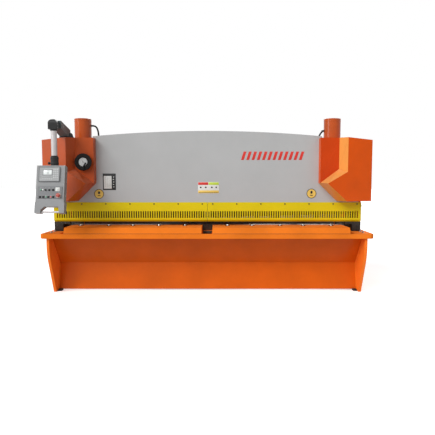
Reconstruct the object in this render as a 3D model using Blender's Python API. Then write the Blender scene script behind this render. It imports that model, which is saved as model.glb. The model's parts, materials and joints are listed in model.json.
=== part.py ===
"""Hydraulic guillotine shear for sheet metal, 3.2 m cutting width, modelled at its real size.

Metres, +Z up, +X to the operator's right. Lengths along Y are measured back from the front face of the
table's lip; an empty then carries the whole machine forward, so that its box is centred on the origin.
"""

import math

import bmesh
import bpy
from mathutils import Matrix, Vector

# Clearances
GAP = 0.0003
OVERCUT = 0.05

# Side plates
FRAME_OUTER = 1.76
FRAME_PLATE = 0.03
FRAME_DEPTH = 1.751
FRAME_INNER = FRAME_OUTER - FRAME_PLATE
FRAME_REAR_HEIGHT = 1.02
FOOT_FRONT = 0.229
FOOT_KNEE = 0.032
KNEE_HEIGHT = 0.455
KNEE_REACH = 0.11
KNEE_RUN = 0.25
BACK_CHAMFER = 0.25
FRAME_SHELF = 0.36
LID_GAP = 0.004
MACHINE_SHIFT = -0.730

# Bed, table blocks and lower blade
BED_WING = 0.06
BED_LOW = 0.640
BED_PLATE = 0.051
BED_HIGH = BED_LOW + BED_PLATE
BED_HALF = FRAME_OUTER + BED_WING
BED_CORNER = 0.030
WING_REAR = 0.50
BLOCK_HEIGHT = 0.066
TABLE_HIGH = BED_HIGH + BLOCK_HEIGHT
TABLE_FRONT = 0.012
BLOCK_SLOPE = 0.036
TABLE_REAR = 0.42
END_NOTCH = 0.163
TABLE_OUTER = FRAME_INNER - END_NOTCH
NOTCH_HALF = 0.060
NOTCH_LEDGE = 0.035
NOTCH_WALL = 0.006
END_HOLE = 0.050
BLADE_THICKNESS = 0.024
BLADE_HEIGHT = 0.08
BLADE_CLEARANCE = 0.0006
UPPER_BLADE_HEIGHT = 0.179
BLADE_OVERRUN = 0.030
BED_BEAM_PLATE = 0.06
BED_BEAM_HEIGHT = 0.22
APRON_SHEET = 0.012
APRON_EDGE = 0.0156
APRON_TOP = 0.131
APRON_CREASE = 0.379
APRON_CREASE_HEIGHT = 0.316
APRON_FOOT = 0.319
APRON_FOOT_HEIGHT = 0.014
FLANGE_WIDTH = 0.055
FLANGE_SHEET = 0.006
GUIDE_PLATE = 0.014
GUIDE_WIDTH = 0.10
GUIDE_BAR = 0.075
GUIDE_BAR_HEIGHT = 0.025
GUIDE_HEADROOM = 0.004

# Front beam and guards
BEAM_FRONT = 0.30
BEAM_PLATE = 0.03
BEAM_BACK = BEAM_FRONT + BEAM_PLATE
THROAT_FRONT = BEAM_FRONT + 0.02
SHEET_OPENING = 0.046
GUARD_PLATE = 0.006
GUARD_LIP = 0.021
GUARD_LIP_DEPTH = 0.016
GUARD_LOW = TABLE_HIGH + SHEET_OPENING
GUARD_CREASE = GUARD_LOW + GUARD_LIP
SLOT_SILL = 0.020
SLOT_LENGTH = 0.078
SLOT_LOW = GUARD_CREASE + SLOT_SILL
SLOT_HIGH = SLOT_LOW + SLOT_LENGTH
GUARD_BAND = 0.102
GUARD_HIGH = SLOT_HIGH + GUARD_BAND
SEAM_HALF = 0.0015
SLOT_WIDTH = 0.0135
SLOT_PITCH = 0.0266
SLOT_FIRST = 0.043
SLOT_MARGIN = 0.033
BEAM_LOW = SLOT_HIGH + 0.013
COVER_TOP = 1.748
BEAM_CROWN = COVER_TOP + 0.084
BEAM_ARCH_RADIUS = 14.2
NECK_GAP = 0.005

# Covers
COVER_OVERHANG = 0.087
COVER_FACE = 0.301
COVER_BAND = 0.073
RECESS_WIDTH = 0.206
COVER_OUTER = FRAME_OUTER + COVER_OVERHANG
COVER_EDGE = COVER_OUTER - COVER_FACE
COVER_RECESS = COVER_EDGE - COVER_BAND
COVER_INNER = COVER_RECESS - RECESS_WIDTH
COVER_FALL = 0.023
COVER_FOLD = COVER_EDGE - 0.046
COVER_FOOT = GUARD_HIGH + 0.017
NOSE_RISE = 0.199
TIP_RISE = 0.005
NOSE_X = COVER_INNER + 0.043
NOSE_FRONT = BEAM_FRONT - 0.29
EDGE_WAIST = COVER_FOOT + 0.327
RECESS_WAIST = COVER_FOOT + 0.359
EDGE_FRONT = BEAM_FRONT - 0.20
OUTER_FRONT = BEAM_FRONT - 0.082
RECESS_FRONT = BEAM_FRONT - 0.10
COVER_SHEET = 0.012

# Cylinders
CYLINDER_RADIUS = 0.096
CYLINDER_X = FRAME_INNER - 0.2825
CYLINDER_BACK = BEAM_BACK + 0.12
CYLINDER_TOP = COVER_TOP + 0.235
ROD_RADIUS = 0.045
GLAND_RADIUS = 0.075
GLAND_HEIGHT = 0.05
CAP_CHAMFER = 0.004
LID_INNER = CYLINDER_X - CYLINDER_RADIUS - 0.0465
LID_REAR = CYLINDER_BACK + 0.17
MOUNT_INNER = LID_INNER - 0.055
MOUNT_PLATE = 0.04
MOUNT_HIGH = COVER_TOP - 0.088
MOUNT_LOW = MOUNT_HIGH - MOUNT_PLATE
MOUNT_REAR = CYLINDER_BACK + 0.15
HOSE_RADIUS = 0.0075
HOSE_STRAIGHT = 0.02
PORT_GAP = 0.0008

# Blade beam, hold-down and upper blade
RAM_PLATE = 0.05
RAM_FRONT = TABLE_REAR + BLADE_THICKNESS + 0.031
RAM_LOW = BEAM_LOW - 0.005
RAM_END_HEIGHT = 0.27
RAM_SHOULDER = RAM_LOW + RAM_END_HEIGHT
RAM_HIGH = MOUNT_LOW - 0.06
RAM_HALF = FRAME_INNER - 0.03
RAM_CENTRE_HALF = CYLINDER_X - CYLINDER_RADIUS - 0.11
RIB_SHEET = 0.02
RIB_DEPTH = 0.16
RIB_COUNT_HALF = 3
RIB_END_INSET = 0.19
RIB_PITCH = (RAM_HALF - RIB_END_INSET - RIB_SHEET / 2) / RIB_COUNT_HALF
SHELF_LOW = RAM_LOW + 0.12
SHELF_PLATE = 0.025
SHELF_DEPTH = 0.17
SEAT_HALF = 0.07
SEAT_HEIGHT = 0.06
SEAT_FRONT = 0.055
BLADE_RAKE = math.radians(1.5)
STROKE_GAP = 0.04
HOLD_DOWN_DEPTH = 0.085
HOLD_DOWN_HEIGHT = 0.16
HOLD_DOWN_LOW = BEAM_LOW + 0.025
PLUNGER_RADIUS = 0.03
PLUNGER_LIFT = 0.068
PLUNGER_PITCH = 0.231
CYLINDER_LOW = RAM_SHOULDER + 0.10

# Rear of the machine
TIE_HEIGHT = 0.26
TIE_PLATE = 0.12
TIE_HIGH = TABLE_HIGH + 0.143
TIE_BACK = FRAME_DEPTH - 0.231
TANK_WIDTH = 1.10
TANK_HEIGHT = 0.42
TANK_DEPTH = 0.59
TANK_REAR = TIE_BACK + 0.06
MOTOR_RADIUS = 0.12
MOTOR_HEIGHT = 0.34
MOTOR_X = 0.27 - TANK_WIDTH / 2
MOTOR_INSET = 0.30
MOTOR_FLANGE = 0.02
MOTOR_STEP = 0.014
FAN_COVER = 0.07
GAUGE_FRONT = 0.94
GAUGE_DEPTH = 0.04
GAUGE_HEIGHT = 0.09
GAUGE_HALF = RAM_HALF - 0.20
ARM_SECTION = 0.07
GAUGE_ARM_X = (RIB_COUNT_HALF - 1) * RIB_PITCH + 0.10
GAUGE_ARM_HEIGHT = 0.10
GAUGE_ARM_LOW = RAM_LOW + 0.01
GAUGE_DROP = 0.0697
GAUGE_ARM_REAR = TIE_BACK - TIE_PLATE - 0.05

# Gap wheel
WHEEL_X = -(COVER_INNER + RECESS_WIDTH / 2)
WHEEL_Z = COVER_FOOT + 0.435
WHEEL_RADIUS = 0.094
WHEEL_STAND_OFF = 0.052
WHEEL_BACK = RECESS_FRONT - WHEEL_STAND_OFF
RIM_HALF = 0.010
RIM_EASE = 0.005
RIM_INNER = 0.074
WEB_HALF = 0.004
DIAL_RADIUS = 0.050
DIAL_PLATE = 0.003
DIAL_SUNK = 0.002
HUB_RADIUS = 0.024
HUB_BACK = 0.018
SHAFT_RADIUS = 0.0144
GRIP_RADIUS = 0.009
GRIP_FOOT = (-0.004, -0.080)
GRIP_TIP = (0.030, -0.012)

# Pendant arm and console
ARM_X = -(COVER_EDGE + 0.019)
ARM_BACK = BEAM_FRONT - 0.095
BASE_RADIUS = 0.078
BASE_HIGH = COVER_TOP + 0.009
HUB_RADIUS_LOW = 0.072
HUB_RADIUS_HIGH = 0.040
HUB_DOME = 0.046
ARM_HALF = 0.045
ARM_HIGH = 0.073
ARM_NOSE = 0.105
ARM_REACH = 0.355
ELBOW_BACK = ARM_BACK - ARM_REACH
ELBOW_X = ARM_X - 0.018
ELBOW_HALF = 0.045
ELBOW_HEIGHT = 0.105
ELBOW_ROUND = 0.040
ELBOW_CORNER = 0.042
SOCKET_LIP = 0.018
ELBOW_LOW = BASE_HIGH + 0.043
TUBE_RADIUS = 0.030
TUBE_LENGTH = 0.28
TUBE_LOW = ELBOW_LOW - TUBE_LENGTH
SWIVEL_RADIUS = 0.040
SWIVEL_HEIGHT = 0.092
BOX_WIDTH = 0.292
BOX_HEIGHT = 0.385
BOX_DEPTH = 0.075
BOX_TOP = TUBE_LOW - SWIVEL_HEIGHT
BOX_FRONT = ELBOW_BACK - 0.038
BOX_SIDE = -0.023
BOX_TILT = math.radians(-12.0)
SKIRT_HEIGHT = 0.112
SKIRT_PROUD = 0.006
SKIRT_LEFT_LEG = 0.062
SKIRT_RIGHT_LEG = 0.055
SKIRT_SLANT = 0.038
SKIRT_RAIL = 0.045
SKIRT_RIM = 0.007
GRIP_BAR_RADIUS = 0.010
GRIP_BAR_RISE = 0.014
GRIP_BAR_BACK = 0.030
CONTROLLER_SIZE = (0.215, 0.152, 0.012)
CONTROLLER_PLACE = (-0.0125, -0.094)
BUTTON_FIELD_SIZE = (0.250, 0.123, 0.006)
BUTTON_FIELD_PLACE = (0.0, -0.2835)
STOP_RADIUS = 0.017
STOP_HEIGHT = 0.0277
STOP_PLACE = (0.090, -0.316)

ROUND_STEPS = 24
BARREL_STEPS = 32
SMALL_STEPS = 12
ARCH_STEPS = 20
CURVE_STEPS = 6
SHARP_ANGLE = math.radians(50)
PAINT_ROUGHNESS = 0.42

COLOURS = {
    "grey_paint": (0.47, 0.47, 0.47), "orange_paint": (0.72, 0.16, 0.03), "yellow_paint": (0.74, 0.62, 0.03),
    "table_orange": (0.80, 0.25, 0.07), "tool_steel": (0.50, 0.51, 0.53), "dark_steel": (0.06, 0.06, 0.065),
    "frame_orange": (0.68, 0.14, 0.03), "black_plastic": (0.03, 0.03, 0.03), "arm_grey": (0.09, 0.09, 0.09),
    "bright_tube": (0.72, 0.70, 0.70), "console_grey": (0.30, 0.30, 0.31), "dial_face": (0.62, 0.62, 0.60),
    "rubber_hose": (0.02, 0.02, 0.02), "red_button": (0.50, 0.05, 0.03), "screen_plastic": (0.40, 0.41, 0.42),
}
METALS = {"tool_steel": 0.9, "dark_steel": 0.6, "bright_tube": 0.8}
SIDES = (("left", -1), ("right", 1))
UPWARD = Vector((0, 0, 1))
BACKWARD = Vector((0, 1, 0))


def clear_scene():
    """Empty the startup scene."""
    for obj in list(bpy.data.objects):
        bpy.data.objects.remove(obj, do_unlink=True)


def material(slot):
    """The Principled material of a slot, made once."""
    found = bpy.data.materials.get(slot)
    if found:
        return found
    made = bpy.data.materials.new(slot)
    made.use_nodes = True
    shader = made.node_tree.nodes["Principled BSDF"]
    shader.inputs["Base Color"].default_value = (*COLOURS[slot], 1.0)
    shader.inputs["Metallic"].default_value = METALS.get(slot, 0.0)
    shader.inputs["Roughness"].default_value = PAINT_ROUGHNESS
    return made


class Joint:
    """An empty on a joint's axis, and where it stands in the machine's own coordinates."""

    def __init__(self, name, at, parent=None):
        self.at = Vector(at)
        self.empty = bpy.data.objects.new(name, None)
        self.empty.location = self.at - (parent.at if parent else Vector())
        if parent:
            self.empty.parent = parent.empty
        bpy.context.scene.collection.objects.link(self.empty)


def new_object(name, mesh_maker, slot, joint):
    """An object from a bmesh, with its faces turned outwards, hung on a joint."""
    shape = bmesh.new()
    mesh_maker(shape)
    bmesh.ops.recalc_face_normals(shape, faces=shape.faces)
    mesh = bpy.data.meshes.new(name)
    shape.to_mesh(mesh)
    shape.free()
    obj = bpy.data.objects.new(name, mesh)
    bpy.context.scene.collection.objects.link(obj)
    if slot:
        mesh.materials.append(material(slot))
    obj.parent = joint.empty
    obj.location = -joint.at
    return obj


def prism(name, outline, along, start, end, slot, joint):
    """A solid whose outline lies across one axis ('X', 'Y' or 'Z'), extruded from start to end along it."""
    def place(u, v, w):
        return {"X": (w, u, v), "Y": (u, w, v), "Z": (u, v, w)}[along]

    def build(shape):
        face = shape.faces.new([shape.verts.new(place(u, v, start)) for u, v in outline])
        top = bmesh.ops.extrude_face_region(shape, geom=[face])["geom"]
        moved = [item for item in top if isinstance(item, bmesh.types.BMVert)]
        bmesh.ops.translate(shape, verts=moved, vec=Vector(place(0, 0, end - start)))

    return new_object(name, build, slot, joint)


def box(name, low, high, slot, joint):
    """A plain block between two corners."""
    outline = [(low[0], low[1]), (high[0], low[1]), (high[0], high[1]), (low[0], high[1])]
    return prism(name, outline, "Z", low[2], high[2], slot, joint)


def solid_of(name, points, faces, slot, joint):
    """A faceted solid from named corner points."""
    def build(shape):
        corners = {key: shape.verts.new(place) for key, place in points.items()}
        for face in faces:
            shape.faces.new([corners[key] for key in face])

    return new_object(name, build, slot, joint)


def smooth(obj):
    """Shade an object smooth, with its real edges kept sharp."""
    obj.data.shade_smooth()
    obj.data.set_sharp_from_angle(angle=SHARP_ANGLE)
    return obj


def rod(name, start, end, radius, slot, joint, steps=ROUND_STEPS, end_radius=None):
    """A round bar or cone between two points."""
    start, end = Vector(start), Vector(end)
    run = end - start

    def build(shape):
        turn = UPWARD.rotation_difference(run).to_matrix().to_4x4()
        bmesh.ops.create_cone(
            shape, cap_ends=True, segments=steps, radius1=radius,
            radius2=radius if end_radius is None else end_radius, depth=run.length,
            matrix=Matrix.Translation((start + end) / 2) @ turn)

    return smooth(new_object(name, build, slot, joint))


def turned(name, profile, at, slot, joint, steps=ROUND_STEPS, axis=UPWARD):
    """A solid of revolution, from (radius, reach along its axis) pairs that start and end on the axis."""
    def build(shape):
        corners = []
        for radius, reach in profile:
            corners.append(shape.verts.new(Vector(at) + Vector((radius, 0, 0)) + axis * reach))
        for low, high in zip(corners, corners[1:]):
            shape.edges.new((low, high))
        bmesh.ops.spin(
            shape, geom=shape.verts[:] + shape.edges[:], cent=Vector(at), axis=axis,
            angle=2 * math.pi, steps=steps, use_merge=True)
        bmesh.ops.remove_doubles(shape, verts=shape.verts, dist=GAP / 10)

    return smooth(new_object(name, build, slot, joint))


def helper(obj):
    """Mark an object as a cutter or a guide, which isn't part of the machine."""
    obj.hide_render = True
    obj.display_type = "WIRE"
    return obj


def join(target, other, operation):
    """Unite another solid with the target, or cut it away."""
    helper(other)
    step = target.modifiers.new(f"{operation.lower()} {other.name}", "BOOLEAN")
    step.operation = operation
    step.object = other
    return target


def row_of_boxes(name, boxes, joint):
    """One helper mesh that holds several separate blocks."""
    def build(shape):
        for low, high in boxes:
            made = bmesh.ops.create_cube(shape, size=1.0)["verts"]
            size = Vector(high) - Vector(low)
            bmesh.ops.scale(shape, verts=made, vec=size)
            bmesh.ops.translate(shape, verts=made, vec=(Vector(high) + Vector(low)) / 2)

    return helper(new_object(name, build, None, joint))


def row_of_rods(name, centres, low, high, radius, steps, joint):
    """One helper mesh that holds several upright cylinders."""
    def build(shape):
        for x, y in centres:
            bmesh.ops.create_cone(
                shape, cap_ends=True, segments=steps, radius1=radius, radius2=radius,
                depth=high - low, matrix=Matrix.Translation((x, y, (low + high) / 2)))

    return helper(new_object(name, build, None, joint))


def cover_height(x):
    """Height of a cover's lid at a distance from the middle of the machine."""
    return COVER_TOP - max(0.0, x - COVER_FOLD) * COVER_FALL / (COVER_OUTER - COVER_FOLD)


def foot_bend():
    """The curve between the leaning foot and the upright front of a side plate, as (y, z) points."""
    lean = Vector((FOOT_FRONT - FOOT_KNEE, -KNEE_HEIGHT))
    points = []
    for index in range(CURVE_STEPS + 1):
        t = index / CURVE_STEPS
        low = Vector((FOOT_KNEE, KNEE_HEIGHT)) + lean * KNEE_RUN
        high = Vector((FOOT_KNEE, KNEE_HEIGHT + KNEE_REACH))
        middle = Vector((FOOT_KNEE, KNEE_HEIGHT))
        points.append(tuple(low * (1 - t) ** 2 + middle * 2 * t * (1 - t) + high * t ** 2))
    return points


def side_frames(joint):
    """The two side plates, whose feet lean forward under the table."""
    high = cover_height(FRAME_OUTER) - COVER_SHEET - LID_GAP
    outline = [
        (FOOT_FRONT, 0.0), *foot_bend(), (FOOT_KNEE, BED_LOW - GAP),
        (THROAT_FRONT, BED_LOW - GAP), (THROAT_FRONT, high), (LID_REAR + FRAME_SHELF, high),
        (FRAME_DEPTH - BACK_CHAMFER, FRAME_REAR_HEIGHT + BACK_CHAMFER / 2), (FRAME_DEPTH, FRAME_REAR_HEIGHT),
        (FRAME_DEPTH, 0.0),
    ]
    for side, sign in SIDES:
        prism(f"{side}_side_frame", outline, "X", sign * FRAME_INNER, sign * FRAME_OUTER, "frame_orange",
              joint)


def bed(joint):
    """The table: a wide plate with a lip, two raised blocks on it, the lower blade and the beam below."""
    inner, outer = FRAME_INNER - GAP, FRAME_OUTER + GAP
    slot_front = THROAT_FRONT - GAP
    half = [(BED_HALF - BED_CORNER, 0.0), (BED_HALF, BED_CORNER), (BED_HALF, WING_REAR), (outer, WING_REAR),
            (outer, slot_front), (inner, slot_front), (inner, TABLE_REAR)]
    outline = half + [(-x, y) for x, y in reversed(half)]
    plate = prism("bed_plate", outline, "Z", BED_LOW, BED_HIGH, "table_orange", joint)
    hole_rear = TABLE_REAR - BED_BEAM_PLATE - NOTCH_WALL
    low, high = BED_LOW - OVERCUT, BED_HIGH + OVERCUT
    holes = [((-NOTCH_HALF + NOTCH_WALL, NOTCH_LEDGE, low), (NOTCH_HALF - NOTCH_WALL, hole_rear, high))]
    for _, sign in SIDES:
        ends = sorted((sign * (TABLE_OUTER + NOTCH_WALL), sign * (TABLE_OUTER + NOTCH_WALL + END_HOLE)))
        holes.append(((ends[0], NOTCH_LEDGE, low), (ends[1], hole_rear, high)))
    join(plate, row_of_boxes("bed_holes", holes, joint), "DIFFERENCE")
    section = [(TABLE_FRONT, BED_HIGH + GAP), (TABLE_FRONT + BLOCK_SLOPE, TABLE_HIGH),
               (TABLE_REAR, TABLE_HIGH), (TABLE_REAR, BED_HIGH + GAP)]
    for side, sign in SIDES:
        prism(f"{side}_table_block", section, "X", sign * NOTCH_HALF, sign * TABLE_OUTER, "table_orange",
              joint)
    box("lower_blade", (-TABLE_OUTER, TABLE_REAR + GAP, TABLE_HIGH - BLADE_HEIGHT),
        (TABLE_OUTER, TABLE_REAR + BLADE_THICKNESS, TABLE_HIGH), "tool_steel", joint)
    box("bed_beam", (-inner, TABLE_REAR - BED_BEAM_PLATE, BED_LOW - GAP - BED_BEAM_HEIGHT),
        (inner, TABLE_REAR, BED_LOW - GAP), "frame_orange", joint)


def apron(joint):
    """The folded sheet under the table, and the flanges that hold its lower half to the side plates."""
    inner = FRAME_INNER - GAP
    high = BED_LOW - GAP
    section = [
        (APRON_TOP, high), (APRON_TOP + APRON_EDGE, high),
        (APRON_CREASE + APRON_SHEET, APRON_CREASE_HEIGHT), (APRON_FOOT + APRON_SHEET, APRON_FOOT_HEIGHT),
        (APRON_FOOT, APRON_FOOT_HEIGHT), (APRON_CREASE, APRON_CREASE_HEIGHT),
    ]
    prism("front_apron", section, "X", -inner, inner, "frame_orange", joint)
    flange = [(APRON_CREASE - GAP, APRON_CREASE_HEIGHT), (APRON_FOOT - GAP, APRON_FOOT_HEIGHT),
              (APRON_FOOT - FLANGE_WIDTH, APRON_FOOT_HEIGHT)]
    for side, sign in SIDES:
        prism(f"{side}_apron_flange", flange, "X", sign * (inner - FLANGE_SHEET), sign * inner,
              "table_orange", joint)


def end_guides(joint):
    """A dark guide in front of each side plate, whose bar keeps a sheet's edge off the table's end."""
    low, high = BED_HIGH + GAP, GUARD_LOW - GUIDE_HEADROOM
    bar = high - GUIDE_BAR_HEIGHT
    inner = FRAME_OUTER - GUIDE_WIDTH
    outline = [(FRAME_OUTER, low), (FRAME_OUTER, high), (inner - GUIDE_BAR, high), (inner - GUIDE_BAR, bar),
               (inner, bar), (inner, low)]
    for side, sign in SIDES:
        prism(f"{side}_end_guide", [(sign * x, z) for x, z in outline], "Y", THROAT_FRONT - GAP - GUIDE_PLATE,
              THROAT_FRONT - GAP, "dark_steel", joint)


def beam_outline(half):
    """The front plate's outline: a straight foot, an arched crown, and shoulders under the covers' lids."""
    shoulder = COVER_TOP - COVER_FALL - 2 * COVER_SHEET
    neck = LID_INNER - NECK_GAP
    sweep = math.asin(neck / BEAM_ARCH_RADIUS)
    arc = []
    for index in range(ARCH_STEPS + 1):
        angle = sweep * (1 - 2 * index / ARCH_STEPS)
        fall = BEAM_ARCH_RADIUS * (1 - math.cos(angle))
        arc.append((BEAM_ARCH_RADIUS * math.sin(angle), BEAM_CROWN - fall))
    return ([(-half, BEAM_LOW), (half, BEAM_LOW), (half, shoulder), (neck, shoulder)] + arc
            + [(-neck, shoulder), (-half, shoulder)])


def front(joint):
    """The arched front plate and the slotted finger guards bolted along its foot."""
    prism("front_beam", beam_outline(FRAME_INNER - GAP), "Y", BEAM_FRONT, BEAM_BACK, "grey_paint", joint)
    back = BEAM_FRONT - GAP
    face = back - GUARD_PLATE
    section = [(face, GUARD_HIGH), (back, GUARD_HIGH), (back, GUARD_CREASE),
               (back + GUARD_LIP_DEPTH, GUARD_LOW + GUARD_PLATE / 3), (face + GUARD_LIP_DEPTH, GUARD_LOW),
               (face, GUARD_CREASE)]
    count = int((FRAME_OUTER - SLOT_MARGIN - SLOT_FIRST) / SLOT_PITCH) + 1
    for side, sign in SIDES:
        guard = prism(f"{side}_finger_guard", section, "X", sign * SEAM_HALF, sign * FRAME_OUTER,
                      "yellow_paint", joint)
        slots = []
        for index in range(count):
            middle = sign * (SLOT_FIRST + index * SLOT_PITCH)
            slots.append(((middle - SLOT_WIDTH / 2, face - GUARD_PLATE, SLOT_LOW),
                          (middle + SLOT_WIDTH / 2, back + GUARD_PLATE, SLOT_HIGH)))
        join(guard, row_of_boxes(f"{side}_slot_cutters", slots, joint), "DIFFERENCE")


def cover(side, sign, joint):
    """A faceted housing in front of the beam: an angled outer face, a recess and a pointed nose."""
    back = BEAM_FRONT - GAP
    nose = COVER_FOOT + NOSE_RISE
    tip = nose + TIP_RISE
    points = {
        "edge_top": (COVER_EDGE, EDGE_FRONT, cover_height(COVER_EDGE)),
        "edge_waist": (COVER_EDGE, EDGE_FRONT, EDGE_WAIST),
        "nose": (NOSE_X, NOSE_FRONT, nose),
        "edge_foot": (COVER_EDGE, EDGE_FRONT, COVER_FOOT),
        "outer_foot": (COVER_OUTER, OUTER_FRONT, COVER_FOOT),
        "outer_top": (COVER_OUTER, OUTER_FRONT, cover_height(COVER_OUTER)),
        "recess_top": (COVER_RECESS, RECESS_FRONT, COVER_TOP),
        "recess_waist": (COVER_RECESS, RECESS_FRONT, RECESS_WAIST),
        "recess_tip": (COVER_INNER, RECESS_FRONT, tip),
        "inner_top": (COVER_INNER, RECESS_FRONT, COVER_TOP),
        "foot_inner": (COVER_RECESS, back, COVER_FOOT),
        "tip_back": (COVER_INNER, back, tip),
        "inner_top_back": (COVER_INNER, back, COVER_TOP),
        "fold_back": (COVER_FOLD, back, COVER_TOP),
        "outer_top_back": (COVER_OUTER, back, cover_height(COVER_OUTER)),
        "outer_foot_back": (COVER_OUTER, back, COVER_FOOT),
    }
    faces = [
        ("edge_top", "edge_waist", "outer_top"), ("edge_waist", "edge_foot", "outer_foot", "outer_top"),
        ("edge_top", "recess_top", "recess_waist", "edge_waist"),
        ("edge_waist", "recess_waist", "nose"), ("recess_waist", "recess_tip", "nose"),
        ("edge_waist", "nose", "edge_foot"), ("nose", "recess_tip", "tip_back"),
        ("nose", "tip_back", "foot_inner"), ("nose", "foot_inner", "edge_foot"),
        ("recess_top", "inner_top", "recess_tip", "recess_waist"),
        ("inner_top", "inner_top_back", "tip_back", "recess_tip"),
        ("edge_top", "outer_top", "outer_top_back", "fold_back"), ("edge_top", "fold_back", "recess_top"),
        ("recess_top", "fold_back", "inner_top_back", "inner_top"),
        ("outer_top", "outer_foot", "outer_foot_back", "outer_top_back"),
        ("edge_foot", "foot_inner", "outer_foot_back", "outer_foot"),
        ("inner_top_back", "fold_back", "outer_top_back", "outer_foot_back", "foot_inner", "tip_back"),
    ]
    placed = {key: (sign * x, y, z) for key, (x, y, z) in points.items()}
    solid_of(f"{side}_cylinder_cover", placed, faces, "orange_paint", joint)


def cylinder_bore(name, sign, height, joint):
    """A cutter for the hole that a cylinder passes through, about a height."""
    x = sign * CYLINDER_X
    low, high = height - OVERCUT, height + OVERCUT
    return rod(name, (x, CYLINDER_BACK, low), (x, CYLINDER_BACK, high), CYLINDER_RADIUS + GAP, None, joint,
               BARREL_STEPS)


def cover_lid(side, sign, joint):
    """The folded sheet behind a cover: a lid around the cylinder and a skirt outside the frame."""
    outer, inside = COVER_OUTER, COVER_OUTER - COVER_SHEET
    section = [
        (LID_INNER, COVER_TOP), (COVER_FOLD, COVER_TOP), (outer, cover_height(outer)), (outer, COVER_FOOT),
        (inside, COVER_FOOT), (inside, cover_height(outer) - COVER_SHEET),
        (COVER_FOLD, COVER_TOP - COVER_SHEET), (LID_INNER, COVER_TOP - COVER_SHEET),
    ]
    lid = prism(f"{side}_cover_lid", [(sign * x, z) for x, z in section], "Y", BEAM_FRONT + GAP, LID_REAR,
                "orange_paint", joint)
    join(lid, cylinder_bore(f"{side}_lid_bore", sign, COVER_TOP, joint), "DIFFERENCE")


def cylinders(joint):
    """The two hydraulic cylinders with their rods, and the plates between beam and frame that carry them."""
    for side, sign in SIDES:
        x = sign * CYLINDER_X
        base, gland = RAM_SHOULDER + GAP, CYLINDER_LOW + GLAND_HEIGHT
        heights = [(0, base), (ROD_RADIUS, base), (ROD_RADIUS, CYLINDER_LOW), (GLAND_RADIUS, CYLINDER_LOW),
                   (GLAND_RADIUS, gland), (CYLINDER_RADIUS, gland),
                   (CYLINDER_RADIUS, CYLINDER_TOP - CAP_CHAMFER),
                   (CYLINDER_RADIUS - CAP_CHAMFER, CYLINDER_TOP), (0, CYLINDER_TOP)]
        turned(f"{side}_cylinder", heights, (x, CYLINDER_BACK, 0.0), "orange_paint", joint, BARREL_STEPS)
        ends = sorted((sign * MOUNT_INNER, sign * (FRAME_INNER - GAP)))
        plate = box(f"{side}_cylinder_mount", (ends[0], BEAM_BACK + GAP, MOUNT_LOW),
                    (ends[1], MOUNT_REAR, MOUNT_HIGH), "frame_orange", joint)
        join(plate, cylinder_bore(f"{side}_mount_bore", sign, MOUNT_HIGH, joint), "DIFFERENCE")


def hold_down(joint):
    """The beam behind the guard that carries a row of plungers, which clamp the sheet."""
    front, inner = BEAM_BACK + GAP, FRAME_INNER - GAP
    beam = box("hold_down_beam", (-inner, front, HOLD_DOWN_LOW),
               (inner, front + HOLD_DOWN_DEPTH, HOLD_DOWN_LOW + HOLD_DOWN_HEIGHT), "dark_steel", joint)
    half_count = int((TABLE_OUTER - PLUNGER_RADIUS) / PLUNGER_PITCH + 0.5)
    middle = front + HOLD_DOWN_DEPTH / 2
    centres = [((index + 0.5) * PLUNGER_PITCH, middle) for index in range(-half_count, half_count)]
    rods = row_of_rods("plunger_union", centres, TABLE_HIGH + PLUNGER_LIFT,
                       HOLD_DOWN_LOW + HOLD_DOWN_HEIGHT / 4, PLUNGER_RADIUS, SMALL_STEPS, joint)
    join(beam, rods, "UNION")


def ram(joint):
    """The blade beam with its ribs, and the raked upper blade on its front."""
    half = [(RAM_HALF, RAM_LOW), (RAM_HALF, RAM_SHOULDER), (RAM_CENTRE_HALF, RAM_SHOULDER),
            (RAM_CENTRE_HALF, RAM_HIGH)]
    outline = half + [(-x, z) for x, z in reversed(half)]
    plate = prism("ram", outline, "Y", RAM_FRONT, RAM_FRONT + RAM_PLATE, "frame_orange", joint)
    rear = RAM_FRONT + RAM_PLATE
    root = rear - RAM_PLATE / 4
    shelf = ((-RAM_HALF, root, SHELF_LOW), (RAM_HALF, rear + SHELF_DEPTH, SHELF_LOW + SHELF_PLATE))
    join(plate, row_of_boxes("ram_shelf_union", [shelf], joint), "UNION")
    ribs = []
    for index in range(-RIB_COUNT_HALF, RIB_COUNT_HALF + 1):
        x = index * RIB_PITCH
        ribs.append(((x - RIB_SHEET / 2, root, RAM_LOW + RIB_SHEET),
                     (x + RIB_SHEET / 2, rear + RIB_DEPTH, RAM_SHOULDER - RIB_SHEET)))
    join(plate, row_of_boxes("ram_rib_union", ribs, joint), "UNION")
    seats = []
    for _, sign in SIDES:
        x = sign * CYLINDER_X
        seats.append(((x - SEAT_HALF, RAM_FRONT - SEAT_FRONT, RAM_SHOULDER - SEAT_HEIGHT),
                      (x + SEAT_HALF, RAM_FRONT + RAM_PLATE / 4, RAM_SHOULDER)))
    join(plate, row_of_boxes("rod_seat_union", seats, joint), "UNION")
    reach = TABLE_OUTER + BLADE_OVERRUN
    rise = 2 * reach * math.tan(BLADE_RAKE)
    low = TABLE_HIGH + STROKE_GAP
    high = low + UPPER_BLADE_HEIGHT
    outline = [(-reach, low), (reach, low + rise), (reach, high + rise), (-reach, high)]
    prism("upper_blade", outline, "Y", TABLE_REAR + BLADE_THICKNESS + BLADE_CLEARANCE, RAM_FRONT - GAP,
          "tool_steel", joint)


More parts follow.
